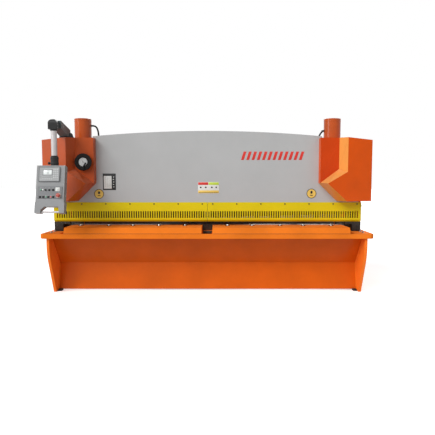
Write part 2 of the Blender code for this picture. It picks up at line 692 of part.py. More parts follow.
def rear(joint):
    """The tie between the frames, the oil tank with its pump motor, and the back gauge."""
    inner = FRAME_INNER - GAP
    box("rear_tie_beam", (-inner, TIE_BACK - TIE_PLATE, TIE_HIGH - TIE_HEIGHT), (inner, TIE_BACK, TIE_HIGH),
        "frame_orange", joint)
    low = TIE_HIGH + GAP
    high = low + TANK_HEIGHT
    box("oil_tank", (-TANK_WIDTH / 2, TANK_REAR - TANK_DEPTH, low), (TANK_WIDTH / 2, TANK_REAR, high),
        "grey_paint", joint)
    barrel, fan = MOTOR_RADIUS - MOTOR_STEP, MOTOR_HEIGHT - FAN_COVER
    profile = [(0, 0), (MOTOR_RADIUS, 0), (MOTOR_RADIUS, MOTOR_FLANGE), (barrel, MOTOR_FLANGE), (barrel, fan),
               (MOTOR_RADIUS, fan), (MOTOR_RADIUS, MOTOR_HEIGHT - MOTOR_STEP),
               (MOTOR_RADIUS - MOTOR_STEP, MOTOR_HEIGHT), (0, MOTOR_HEIGHT)]
    turned("pump_motor", profile, (MOTOR_X, TANK_REAR - MOTOR_INSET, high + GAP), "frame_orange", joint)
    gauge_high = GAUGE_ARM_LOW - GAUGE_DROP
    box("back_gauge_beam", (-GAUGE_HALF, GAUGE_FRONT, gauge_high - GAUGE_HEIGHT),
        (GAUGE_HALF, GAUGE_FRONT + GAUGE_DEPTH, gauge_high), "tool_steel", joint)
    seat = RAM_FRONT + RAM_PLATE + GAP
    high = GAUGE_ARM_LOW + GAUGE_ARM_HEIGHT
    foot = gauge_high + GAP
    section = [
        (seat, GAUGE_ARM_LOW), (seat, high), (GAUGE_ARM_REAR, high), (GAUGE_ARM_REAR, foot),
        (GAUGE_FRONT, foot), (GAUGE_FRONT, GAUGE_ARM_LOW),
    ]
    for side, sign in SIDES:
        middle = sign * GAUGE_ARM_X
        prism(f"{side}_gauge_arm", section, "X", middle - ARM_SECTION / 2, middle + ARM_SECTION / 2,
              "dark_steel", joint)


def hose_route(sign):
    """Points along a hose, read from a smooth curve through the places where it bends."""
    port = CYLINDER_X - CYLINDER_RADIUS - PORT_GAP
    foot = MOUNT_HIGH + GAP + HOSE_STRAIGHT
    back = CYLINDER_BACK
    if sign < 0:
        bends = [(0.0, -0.010, 0.079), (0.025, -0.010, 0.079), (0.055, -0.005, 0.090), (0.073, 0.005, 0.128),
                 (0.080, 0.012, 0.193), (0.082, 0.020, CYLINDER_TOP - foot)]
    else:
        bends = [(0.0, -0.010, 0.137), (0.011, -0.010, 0.1375), (0.034, -0.006, 0.161), (0.053, 0.005, 0.198),
                 (0.061, 0.012, 0.233), (0.063, 0.020, CYLINDER_TOP - foot)]
    knots = [Vector((sign * (port - out), back + behind, CYLINDER_TOP - down)) for out, behind, down in bends]
    padded = [2 * knots[0] - knots[1]] + knots + [2 * knots[-1] - knots[-2]]
    points = []
    for a, b, c, d in zip(padded, padded[1:], padded[2:], padded[3:]):
        for step in range(3):
            t = step / 3
            points.append(0.5 * (2 * b + (c - a) * t + (2 * a - 5 * b + 4 * c - d) * t * t
                                 + (3 * b - a - 3 * c + d) * t ** 3))
    return points + [knots[-1], knots[-1] - Vector((0, 0, HOSE_STRAIGHT))]


def hoses(joint):
    """The oil hoses from the cylinders' ports down behind the front plate to their mounting plates."""
    for side, sign in SIDES:
        curve = bpy.data.curves.new(f"{side}_hose", "CURVE")
        curve.dimensions = "3D"
        curve.bevel_depth = HOSE_RADIUS
        curve.bevel_resolution = 2
        curve.use_fill_caps = True
        points = hose_route(sign)
        spline = curve.splines.new("POLY")
        spline.points.add(len(points) - 1)
        for target, place in zip(spline.points, points):
            target.co = (*place, 1.0)
        hose = bpy.data.objects.new(f"{side}_hose", curve)
        curve.materials.append(material("rubber_hose"))
        bpy.context.scene.collection.objects.link(hose)
        hose.parent = joint.empty


def gap_adjuster(root):
    """The handwheel that sets the blade gap, on the left cover: a ring round its dial, with a folded grip."""
    centre = (WHEEL_X, WHEEL_BACK, WHEEL_Z)
    axis = Joint("gap_wheel_axis", centre, root)
    rod("gap_shaft", (WHEEL_X, RECESS_FRONT - GAP, WHEEL_Z), (WHEEL_X, WHEEL_BACK + HUB_BACK + GAP, WHEEL_Z),
        SHAFT_RADIUS, "tool_steel", root, SMALL_STEPS)
    well, edge = DIAL_RADIUS + GAP, WHEEL_RADIUS - RIM_EASE
    profile = [
        (0, HUB_BACK), (HUB_RADIUS, HUB_BACK), (HUB_RADIUS, WEB_HALF), (RIM_INNER, WEB_HALF),
        (RIM_INNER, RIM_HALF), (edge, RIM_HALF), (WHEEL_RADIUS, RIM_HALF - RIM_EASE),
        (WHEEL_RADIUS, RIM_EASE - RIM_HALF), (edge, -RIM_HALF), (well + RIM_EASE, -RIM_HALF),
        (well, RIM_EASE - RIM_HALF), (well, -DIAL_SUNK), (0, -DIAL_SUNK),
    ]
    turned("gap_wheel", profile, centre, "black_plastic", axis, BARREL_STEPS, BACKWARD)
    ends = [(WHEEL_X, WHEEL_BACK - DIAL_SUNK - out, WHEEL_Z) for out in (GAP, GAP + DIAL_PLATE)]
    rod("gap_dial", *ends, DIAL_RADIUS, "dial_face", axis, BARREL_STEPS)
    lane = WHEEL_BACK - RIM_HALF - GAP - GRIP_RADIUS
    ends = [(WHEEL_X + across, lane, WHEEL_Z + up) for across, up in (GRIP_FOOT, GRIP_TIP)]
    rod("gap_wheel_handle", *ends, GRIP_RADIUS, "black_plastic", axis, SMALL_STEPS)


def dome(reach):
    """The hub's rounded profile, as (radius, height) pairs, grown all round by a clearance."""
    wide = HUB_RADIUS_LOW + reach
    flat = HUB_RADIUS_HIGH + reach
    high = HUB_DOME + reach
    rounded = []
    for index in range(CURVE_STEPS + 1):
        angle = math.pi / 2 * index / CURVE_STEPS
        rounded.append((flat + (wide - flat) * math.cos(angle), high * math.sin(angle)))
    return rounded


def rounded_corner(edge, top, radius, sign):
    """Points of a rounded upper corner, from the top down to an edge on one side (-1 or 1)."""
    points = []
    for index in range(CURVE_STEPS + 1):
        angle = math.pi / 2 * index / CURVE_STEPS
        points.append((edge - sign * radius * (1 - math.sin(angle)), top - radius * (1 - math.cos(angle))))
    return points


def pendant_arm(root):
    """The foot, swivelling arm, elbow and drop tube that carry the console."""
    axis = Joint("pendant_arm_axis", (ARM_X, ARM_BACK, BASE_HIGH), root)
    foot = rod("pendant_base", (ARM_X, ARM_BACK, COVER_TOP - OVERCUT), (ARM_X, ARM_BACK, BASE_HIGH),
               BASE_RADIUS, "black_plastic", root)
    wide = BASE_RADIUS * 2
    low = COVER_TOP - 2 * OVERCUT
    lid = [(ARM_X - wide, low), (ARM_X + wide, low), (ARM_X + wide, COVER_TOP + GAP),
           (-COVER_FOLD, COVER_TOP + GAP), (ARM_X - wide, cover_height(wide - ARM_X) + GAP)]
    trim = prism("pendant_base_trim", lid, "Y", ARM_BACK - wide, ARM_BACK + wide, None, root)
    join(foot, trim, "DIFFERENCE")
    low = BASE_HIGH + GAP
    turned("pendant_hub", [(0, 0)] + dome(0) + [(0, HUB_DOME)], (ARM_X, ARM_BACK, low), "black_plastic", axis)
    elbow_rear = ELBOW_BACK + ELBOW_HALF
    section = [(elbow_rear, ELBOW_LOW + SOCKET_LIP), (ARM_BACK - ARM_NOSE, low), (ARM_BACK, low),
               (ARM_BACK, low + ARM_HIGH), (elbow_rear, ELBOW_LOW + ELBOW_HEIGHT - SOCKET_LIP / 2)]
    arm = prism("pendant_arm", section, "X", ARM_X - ARM_HALF, ARM_X + ARM_HALF, "arm_grey", axis)
    relief = turned("arm_hub_relief", [(0, -OVERCUT), (HUB_RADIUS_LOW + GAP, -OVERCUT)] + dome(GAP)
                    + [(0, HUB_DOME + GAP)], (ARM_X, ARM_BACK, low), None, axis)
    join(arm, relief, "DIFFERENCE")
    front_face, high = ELBOW_BACK - ELBOW_HALF, ELBOW_LOW + ELBOW_HEIGHT
    left, right = ELBOW_X - ELBOW_HALF, ELBOW_X + ELBOW_HALF
    outline = [(front_face, ELBOW_LOW), (elbow_rear - GAP, ELBOW_LOW), (elbow_rear - GAP, high),
               *rounded_corner(front_face, high, ELBOW_ROUND, -1)]
    elbow = prism("arm_elbow", outline, "X", left, right, "black_plastic", axis)
    crown = [(left, ELBOW_LOW - OVERCUT), (right, ELBOW_LOW - OVERCUT),
             *reversed(rounded_corner(right, high, ELBOW_CORNER, 1)),
             *rounded_corner(left, high, ELBOW_CORNER, -1)]
    join(elbow, prism("elbow_crown", crown, "Y", front_face - OVERCUT, elbow_rear + OVERCUT, None, axis),
         "INTERSECT")
    rod("drop_tube", (ELBOW_X, ELBOW_BACK, TUBE_LOW), (ELBOW_X, ELBOW_BACK, ELBOW_LOW - GAP), TUBE_RADIUS,
        "bright_tube", axis)
    return axis


def console(arm_axis):
    """The box that swivels under the drop tube, tilted towards the operator."""
    axis = Joint("control_box_axis", (ELBOW_X, ELBOW_BACK, TUBE_LOW), arm_axis)
    ends = [(ELBOW_X, ELBOW_BACK, height) for height in (BOX_TOP - OVERCUT, TUBE_LOW - GAP)]
    swivel = rod("tube_swivel", *ends, SWIVEL_RADIUS, "black_plastic", axis)
    tilt = Joint("console_tilt", (ELBOW_X + BOX_SIDE, BOX_FRONT, BOX_TOP), axis)
    tilt.empty.rotation_euler.x = BOX_TILT
    face = Joint("console_face", tilt.at, tilt)
    face.at = Vector()
    half = BOX_WIDTH / 2
    trim = box("swivel_trim", (-half, -OVERCUT, -2 * OVERCUT), (half, BOX_DEPTH + OVERCUT, GAP), None, face)
    join(swivel, trim, "DIFFERENCE")
    wide = half + SKIRT_PROUD
    low = -BOX_HEIGHT
    foot = low - SKIRT_HEIGHT
    grip = foot + GRIP_BAR_RISE
    left, right = SKIRT_LEFT_LEG - wide, wide - SKIRT_RIGHT_LEG
    rail = low - SKIRT_RAIL
    knee = grip + 2 * GRIP_BAR_RADIUS
    outline = [
        (-half, 0.0), (half, 0.0), (half, low), (wide, low), (wide, foot), (right, foot), (right, knee),
        (right - SKIRT_RIM, rail), (left + SKIRT_SLANT, rail), (left, knee), (left, foot), (-wide, foot),
        (-wide, low), (-half, low),
    ]
    prism("control_box", outline, "Y", 0.0, BOX_DEPTH, "console_grey", face)
    ends = [(x, GRIP_BAR_BACK, grip) for x in (left + GAP, right - GAP)]
    rod("console_handle", *ends, GRIP_BAR_RADIUS, "bright_tube", face, SMALL_STEPS)
    for name, size, place, slot in (
            ("numeric_controller", CONTROLLER_SIZE, CONTROLLER_PLACE, "screen_plastic"),
            ("button_panel", BUTTON_FIELD_SIZE, BUTTON_FIELD_PLACE, "arm_grey")):
        box(name, (place[0] - size[0] / 2, -size[2], place[1] - size[1] / 2),
            (place[0] + size[0] / 2, -GAP, place[1] + size[1] / 2), slot, face)
    button_face = -BUTTON_FIELD_SIZE[2] - GAP
    ends = [(STOP_PLACE[0], reach, STOP_PLACE[1]) for reach in (button_face, button_face - STOP_HEIGHT)]
    rod("stop_button", *ends, STOP_RADIUS, "red_button", face)


def main():
    """Build the whole machine."""
    clear_scene()
    root = Joint("machine", (0.0, 0.0, 0.0))
    root.empty.location.y = MACHINE_SHIFT
    side_frames(root)
    bed(root)
    apron(root)
    end_guides(root)
    front(root)
    for side, sign in SIDES:
        cover(side, sign, root)
        cover_lid(side, sign, root)
    cylinders(root)
    hold_down(root)
    ram(root)
    rear(root)
    hoses(root)
    gap_adjuster(root)
    console(pendant_arm(root))


main()
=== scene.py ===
"""Looks of a hydraulic guillotine shear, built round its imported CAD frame."""

from __future__ import annotations

import json
import logging
import math
from collections.abc import Sequence
from dataclasses import dataclass, field
from enum import Enum

import bmesh
import bpy
from mathutils import Matrix, Vector


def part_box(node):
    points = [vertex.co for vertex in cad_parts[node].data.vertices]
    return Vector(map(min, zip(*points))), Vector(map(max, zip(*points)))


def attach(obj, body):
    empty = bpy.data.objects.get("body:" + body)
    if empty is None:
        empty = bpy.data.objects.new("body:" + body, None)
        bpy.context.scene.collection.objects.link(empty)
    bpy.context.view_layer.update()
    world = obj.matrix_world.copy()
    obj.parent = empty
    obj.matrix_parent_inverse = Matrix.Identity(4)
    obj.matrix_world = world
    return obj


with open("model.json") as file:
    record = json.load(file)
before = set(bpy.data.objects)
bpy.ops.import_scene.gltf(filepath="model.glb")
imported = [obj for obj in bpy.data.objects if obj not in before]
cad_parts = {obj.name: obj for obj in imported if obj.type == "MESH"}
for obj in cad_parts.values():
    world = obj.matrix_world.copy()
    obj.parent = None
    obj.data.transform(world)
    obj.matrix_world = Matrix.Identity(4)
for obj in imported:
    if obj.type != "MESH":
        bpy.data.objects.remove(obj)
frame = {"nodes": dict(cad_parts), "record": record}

log = logging.getLogger("shear")

Colour = tuple[float, float, float, float]
Point = tuple[float, float, float]
Pair = tuple[float, float]
Socket = bpy.types.NodeSocket
shift = Matrix.Translation

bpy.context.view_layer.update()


class Body(Enum):
    """The bodies of the machine that a piece can ride on."""

    MACHINE = "machine"
    ARM = "pendant_arm"
    CONSOLE = "control_box"
    WHEEL = "gap_wheel"


class Side(Enum):
    """The two ends of the machine, as the sign of X."""

    LEFT = -1
    RIGHT = 1

    @property
    def word(self) -> str:
        """The word that piece names take."""
        return self.name.lower()


def paint_chip(red: int, green: int, blue: int) -> Colour:
    """Turn a colour as a screen shows it into the linear one that a shader takes.

    Args:
        red: Red, 0 to 255.
        green: Green, 0 to 255.
        blue: Blue, 0 to 255.

    Returns:
        The linear colour with full alpha.
    """
    shown = [part / 255 for part in (red, green, blue)]
    linear = [part / 12.92 if part <= 0.04045 else ((part + 0.055) / 1.055) ** 2.4 for part in shown]
    return (linear[0], linear[1], linear[2], 1.0)


class Wiring:
    """A shader tree with short calls that add its nodes and join them."""

    def __init__(self, tree: bpy.types.NodeTree) -> None:
        """Keep the tree that is being wired."""
        self.tree = tree

    def node(self, kind: str, inputs: dict | None = None, **settings: object) -> bpy.types.Node:
        """Add a node.

        Args:
            kind: Blender's name of the node type.
            inputs: Value or source socket of each input, by name or number.
            settings: Properties of the node itself.

        Returns:
            The new node.
        """
        made = self.tree.nodes.new(kind)
        for key, value in settings.items():
            setattr(made, key, value)
        for key, value in (inputs or {}).items():
            if isinstance(value, Socket):
                self.tree.links.new(value, made.inputs[key])
            else:
                made.inputs[key].default_value = value
        return made

    def maths(self, operation: str, first: object, second: object = 0.0, clamp: bool = False) -> Socket:
        """Join two numbers by one operation."""
        return self.node("ShaderNodeMath", {0: first, 1: second}, operation=operation,
                         use_clamp=clamp).outputs[0]

    def span(self, value: object, low: float, high: float, to_low: float = 0.0,
             to_high: float = 1.0) -> Socket:
        """Stretch a number's range over another one."""
        inputs = {"Value": value, "From Min": low, "From Max": high, "To Min": to_low, "To Max": to_high}
        return self.node("ShaderNodeMapRange", inputs).outputs["Result"]

    def blend(self, share: object, first: object, second: object, way: str = "MIX") -> Socket:
        """Mix two colours."""
        return self.node("ShaderNodeMix", {0: share, 6: first, 7: second}, data_type="RGBA",
                         blend_type=way).outputs[2]

    def noise(self, where: object, scale: object, detail: float = 3.0, rough: float = 0.55) -> Socket:
        """Add a cloud of noise."""
        inputs = {"Vector": where, "Scale": scale, "Detail": detail, "Roughness": rough}
        return self.node("ShaderNodeTexNoise", inputs).outputs[0]

    def place(self) -> Socket:
        """Coordinates in metres that ride with the piece."""
        return self.node("ShaderNodeTexCoord").outputs["Object"]

    def stretched(self, where: object, scale: Point) -> Socket:
        """Coordinates scaled along each axis."""
        return self.node("ShaderNodeMapping", {"Vector": where, "Scale": scale}).outputs[0]


class Effects:
    """The shader groups that several finishes share, each built once."""

    @staticmethod
    def _start(name: str, entries: dict[str, float | Point],
               exits: dict[str, str]) -> tuple[Wiring, dict, object]:
        """Open a new group.

        Args:
            name: Name of the group.
            entries: Default of each input: a number, or three for coordinates.
            exits: Socket type of each output.

        Returns:
            The group's wiring, its input sockets by name and its output node.
        """
        tree = bpy.data.node_groups.new(name, "ShaderNodeTree")
        for entry, start in entries.items():
            kind = "NodeSocketFloat" if isinstance(start, float) else "NodeSocketVector"
            tree.interface.new_socket(entry, in_out="INPUT", socket_type=kind).default_value = start
        for leaving, kind in exits.items():
            tree.interface.new_socket(leaving, in_out="OUTPUT", socket_type=kind)
        inner = tree.nodes.new("NodeGroupInput")
        return Wiring(tree), {socket.name: socket
                              for socket in inner.outputs}, tree.nodes.new("NodeGroupOutput")

    @staticmethod
    def _place(name: str, wiring: Wiring, values: dict) -> bpy.types.Node:
        """Put a group in a material, building it the first time.

        Args:
            name: Name of the group.
            wiring: Wiring of the material that takes it.
            values: A value or a socket for each input, by its name.

        Returns:
            The group's node in the material.
        """
        if name not in bpy.data.node_groups:
            getattr(Effects, "_build_" + name)()
        made = wiring.node("ShaderNodeGroup", node_tree=bpy.data.node_groups[name])
        for key, value in values.items():
            if isinstance(value, Socket):
                wiring.tree.links.new(value, made.inputs[key])
            else:
                made.inputs[key].default_value = value
        return made

    @staticmethod
    def _build_sprayed_coat() -> None:
        """Orange peel, broad mottle and uneven gloss of sprayed or moulded skin."""
        group, into, out = Effects._start(
            "sprayed_coat",
            {"Where": (0.0, 0.0, 0.0), "Peel scale": 260.0, "Mottle scale": 2.2},
            {"Height": "NodeSocketFloat", "Mottle": "NodeSocketFloat", "Gloss": "NodeSocketFloat"},
        )
        fine = group.noise(into["Where"], into["Peel scale"], 2.0)
        broad = group.noise(into["Where"], into["Mottle scale"], 4.0, 0.6)
        smears = group.noise(group.stretched(into["Where"], (1.0, 1.0, 0.35)), 9.0, 5.0, 0.65)
        group.tree.links.new(fine, out.inputs["Height"])
        group.tree.links.new(group.span(broad, 0.3, 0.7), out.inputs["Mottle"])
        group.tree.links.new(group.span(smears, 0.3, 0.7), out.inputs["Gloss"])

    @staticmethod
    def _build_worn_edges() -> None:
        """Rounded edges, and a mask of the chips along them."""
        group, into, out = Effects._start(
            "worn_edges",
            {"Where": (0.0, 0.0, 0.0), "Width": 0.003, "Amount": 0.5},
            {"Mask": "NodeSocketFloat", "Normal": "NodeSocketVector"},
        )
        rounded = group.node("ShaderNodeBevel", {"Radius": into["Width"]}, samples=6).outputs[0]
        flat = group.node("ShaderNodeNewGeometry").outputs["Normal"]
        same = group.node("ShaderNodeVectorMath", {0: rounded, 1: flat},
                          operation="DOT_PRODUCT").outputs["Value"]
        turn = group.span(group.maths("SUBTRACT", 1.0, same), 0.02, 0.22)
        chips = group.span(group.noise(into["Where"], 42.0, 6.0, 0.7), 0.52, 0.60)
        patches = group.span(group.noise(into["Where"], 5.0, 2.0), 0.42, 0.62)
        mask = group.maths("MULTIPLY", group.maths("MULTIPLY", turn, chips), patches)
        group.tree.links.new(group.maths("MULTIPLY", mask, into["Amount"], clamp=True), out.inputs["Mask"])
        group.tree.links.new(rounded, out.inputs["Normal"])

    @staticmethod
    def _build_settled_dust() -> None:
        """A mask of the dust that lies on faces turned upwards."""
        group, into, out = Effects._start(
            "settled_dust",
            {"Where": (0.0, 0.0, 0.0), "Amount": 0.3},
            {"Mask": "NodeSocketFloat"},
        )
        facing = group.node("ShaderNodeTexCoord").outputs["Normal"]
        upward = group.node("ShaderNodeSeparateXYZ", {0: facing}).outputs["Z"]
        lying = group.span(upward, 0.55, 1.0)
        drift = group.span(group.noise(into["Where"], 14.0, 5.0, 0.65), 0.35, 0.75)
        mask = group.maths("MULTIPLY", lying, drift)
        group.tree.links.new(group.maths("MULTIPLY", mask, into["Amount"], clamp=True), out.inputs["Mask"])

    @staticmethod
    def _build_machined_grain() -> None:
        """Fine parallel marks of grinding or rolling, with oil stains."""
        group, into, out = Effects._start(
            "machined_grain",
            {"Where": (0.0, 0.0, 0.0), "Along": 6.0, "Across": 900.0},
            {"Height": "NodeSocketFloat", "Streak": "NodeSocketFloat", "Stain": "NodeSocketFloat"},
        )
        scale = group.node("ShaderNodeCombineXYZ", {0: into["Along"], 1: into["Across"],
                                                    2: into["Across"]}).outputs[0]
        lines = group.node("ShaderNodeVectorMath", {0: into["Where"], 1: scale},
                           operation="MULTIPLY").outputs[0]
        marks = group.noise(lines, 1.0, 3.0, 0.6)
        stain = group.noise(into["Where"], 11.0, 6.0, 0.62)
        group.tree.links.new(marks, out.inputs["Height"])
        group.tree.links.new(group.span(marks, 0.35, 0.65), out.inputs["Streak"])
        group.tree.links.new(group.span(stain, 0.42, 0.68), out.inputs["Stain"])

    @staticmethod
    def _build_sliding_scratches() -> None:
        """Thin scratches from sheets that slide over a face, front to back."""
        group, into, out = Effects._start(
            "sliding_scratches",
            {"Where": (0.0, 0.0, 0.0), "Amount": 0.5},
            {"Mask": "NodeSocketFloat"},
        )
        lines = group.stretched(into["Where"], (230.0, 3.2, 40.0))
        thin = group.span(group.noise(lines, 1.0, 2.0, 0.5), 0.67, 0.72)
        patches = group.span(group.noise(into["Where"], 3.5, 3.0), 0.4, 0.65)
        mask = group.maths("MULTIPLY", thin, patches)
        group.tree.links.new(group.maths("MULTIPLY", mask, into["Amount"], clamp=True), out.inputs["Mask"])

    @classmethod
    def sprayed_coat(cls, wiring: Wiring, **values: object) -> bpy.types.Node:
        """Place the sprayed coat group."""
        return cls._place("sprayed_coat", wiring, values)

    @classmethod
    def worn_edges(cls, wiring: Wiring, **values: object) -> bpy.types.Node:
        """Place the worn edges group."""
        return cls._place("worn_edges", wiring, values)

    @classmethod
    def settled_dust(cls, wiring: Wiring, **values: object) -> bpy.types.Node:
        """Place the settled dust group."""
        return cls._place("settled_dust", wiring, values)

    @classmethod
    def machined_grain(cls, wiring: Wiring, **values: object) -> bpy.types.Node:
        """Place the machined grain group."""
        return cls._place("machined_grain", wiring, values)

    @classmethod
    def sliding_scratches(cls, wiring: Wiring, **values: object) -> bpy.types.Node:
        """Place the sliding scratches group."""
        return cls._place("sliding_scratches", wiring, values)


def new_material(name: str) -> tuple[bpy.types.Material, Wiring, bpy.types.Node]:
    """Start a material.

    Args:
        name: Name of the material.

    Returns:
        The material, its wiring and its Principled BSDF.
    """
    made = bpy.data.materials.new(name)
    made.use_nodes = True
    wiring = Wiring(made.node_tree)
    return made, wiring, made.node_tree.nodes["Principled BSDF"]


@dataclass(frozen=True)
class Enamel:
    """Sprayed machine paint: peel, mottle, chipped edges, dust and, on a table, scratches."""

    name: str
    colour: Colour
    gloss: Pair = (0.30, 0.44)
    mottle: float = 0.07
    peel: float = 0.05
    chips: float = 0.55
    dust: float = 0.22
    scratches: float = 0.0
    edge: float = 0.003
    shine: float = 0.10
    coat: float = 0.08
    under: Colour = paint_chip(120, 104, 92)
    dust_colour: Colour = paint_chip(190, 182, 170)

    def make(self) -> bpy.types.Material:
        """Build the material.

        Returns:
            The finished material.
        """
        made, wiring, shader = new_material(self.name)
        where = wiring.place()
        coat = Effects.sprayed_coat(wiring, Where=where)
        edges = Effects.worn_edges(wiring, Where=where, Width=self.edge, Amount=self.chips)
        dust = Effects.settled_dust(wiring, Where=where, Amount=self.dust)
        darker = tuple(part * (1 - 2 * self.mottle) for part in self.colour[:3]) + (1.0,)
        lighter = tuple(min(1.0, part * (1 + self.mottle)) for part in self.colour[:3]) + (1.0,)
        colour = wiring.blend(coat.outputs["Mottle"], darker, lighter)
        colour = wiring.blend(edges.outputs["Mask"], colour, self.under)
        rough = wiring.span(coat.outputs["Gloss"], 0.0, 1.0, *self.gloss)
        if self.scratches:
            rubbed = Effects.sliding_scratches(wiring, Where=where, Amount=self.scratches).outputs["Mask"]
            colour = wiring.blend(rubbed, colour, paint_chip(150, 132, 122))
        colour = wiring.blend(dust.outputs["Mask"], colour, self.dust_colour)
        rough = wiring.maths("ADD", rough, wiring.maths("MULTIPLY", dust.outputs["Mask"], 0.4), clamp=True)
        bump = wiring.node(
            "ShaderNodeBump",
            {"Strength": self.peel, "Distance": 0.001, "Height": coat.outputs["Height"],
             "Normal": edges.outputs["Normal"]},
        )
        wiring.tree.links.new(colour, shader.inputs["Base Color"])
        wiring.tree.links.new(rough, shader.inputs["Roughness"])
        wiring.tree.links.new(bump.outputs[0], shader.inputs["Normal"])
        shader.inputs["Specular IOR Level"].default_value = self.shine
        shader.inputs["Coat Weight"].default_value = self.coat
        shader.inputs["Coat Roughness"].default_value = 0.18
        return made


@dataclass(frozen=True)
class MachinedSteel:
    """Ground or rolled steel with marks along X, oil stains and bright edges."""

    name: str
    colour: Colour
    stain: Colour = paint_chip(88, 80, 70)
    gloss: Pair = (0.24, 0.42)
    stain_share: float = 0.45
    across: float = 700.0
    metal: float = 1.0
    rim: Colour = paint_chip(225, 225, 222)

    def make(self) -> bpy.types.Material:
        """Build the material.

        Returns:
            The finished material.
        """
        made, wiring, shader = new_material(self.name)
        where = wiring.place()
        grain = Effects.machined_grain(wiring, Where=where, Across=self.across)
        edges = Effects.worn_edges(wiring, Where=where, Width=0.0015, Amount=1.0)
        stained = wiring.maths("MULTIPLY", grain.outputs["Stain"], self.stain_share)
        colour = wiring.blend(stained, self.colour, self.stain)
        colour = wiring.blend(wiring.maths("MULTIPLY", grain.outputs["Streak"], 0.22), colour,
                              paint_chip(60, 60, 60))
        colour = wiring.blend(edges.outputs["Mask"], colour, self.rim)
        bump = wiring.node(
            "ShaderNodeBump",
            {"Strength": 0.12, "Distance": 0.0005, "Height": grain.outputs["Height"],
             "Normal": edges.outputs["Normal"]},
        )
        wiring.tree.links.new(colour, shader.inputs["Base Color"])
        wiring.tree.links.new(wiring.span(grain.outputs["Streak"], 0.0, 1.0, *self.gloss),
                              shader.inputs["Roughness"])
        wiring.tree.links.new(bump.outputs[0], shader.inputs["Normal"])
        shader.inputs["Metallic"].default_value = self.metal
        return made


@dataclass(frozen=True)
class MouldedSkin:
    """Plastic or rubber with a fine moulded grain and light rub marks."""

    name: str
    colour: Colour
    gloss: Pair = (0.42, 0.60)
    grain: float = 0.18
    grain_scale: float = 900.0
    dust: float = 0.15
    shine: float = 0.4
    rubbed: Colour | None = None

    def make(self) -> bpy.types.Material:
        """Build the material.

        Returns:
            The finished material.
        """
        made, wiring, shader = new_material(self.name)
        where = wiring.place()
        coat = Effects.sprayed_coat(wiring, **{"Where": where, "Peel scale": self.grain_scale,
                                               "Mottle scale": 16.0})
        edges = Effects.worn_edges(wiring, Where=where, Width=0.0015, Amount=0.7)
        dust = Effects.settled_dust(wiring, Where=where, Amount=self.dust)
        pale = self.rubbed or tuple(min(1.0, part * 1.5 + 0.02) for part in self.colour[:3]) + (1.0,)
        colour = wiring.blend(wiring.maths("MULTIPLY", coat.outputs["Mottle"], 0.18), self.colour, pale)
        colour = wiring.blend(edges.outputs["Mask"], colour, pale)
        colour = wiring.blend(dust.outputs["Mask"], colour, paint_chip(170, 165, 158))
        bump = wiring.node(
            "ShaderNodeBump",
            {"Strength": self.grain, "Distance": 0.0004, "Height": coat.outputs["Height"],
             "Normal": edges.outputs["Normal"]},
        )
        wiring.tree.links.new(colour, shader.inputs["Base Color"])
        wiring.tree.links.new(wiring.span(coat.outputs["Gloss"], 0.0, 1.0, *self.gloss),
                              shader.inputs["Roughness"])
        wiring.tree.links.new(bump.outputs[0], shader.inputs["Normal"])
        shader.inputs["Specular IOR Level"].default_value = self.shine
        return made


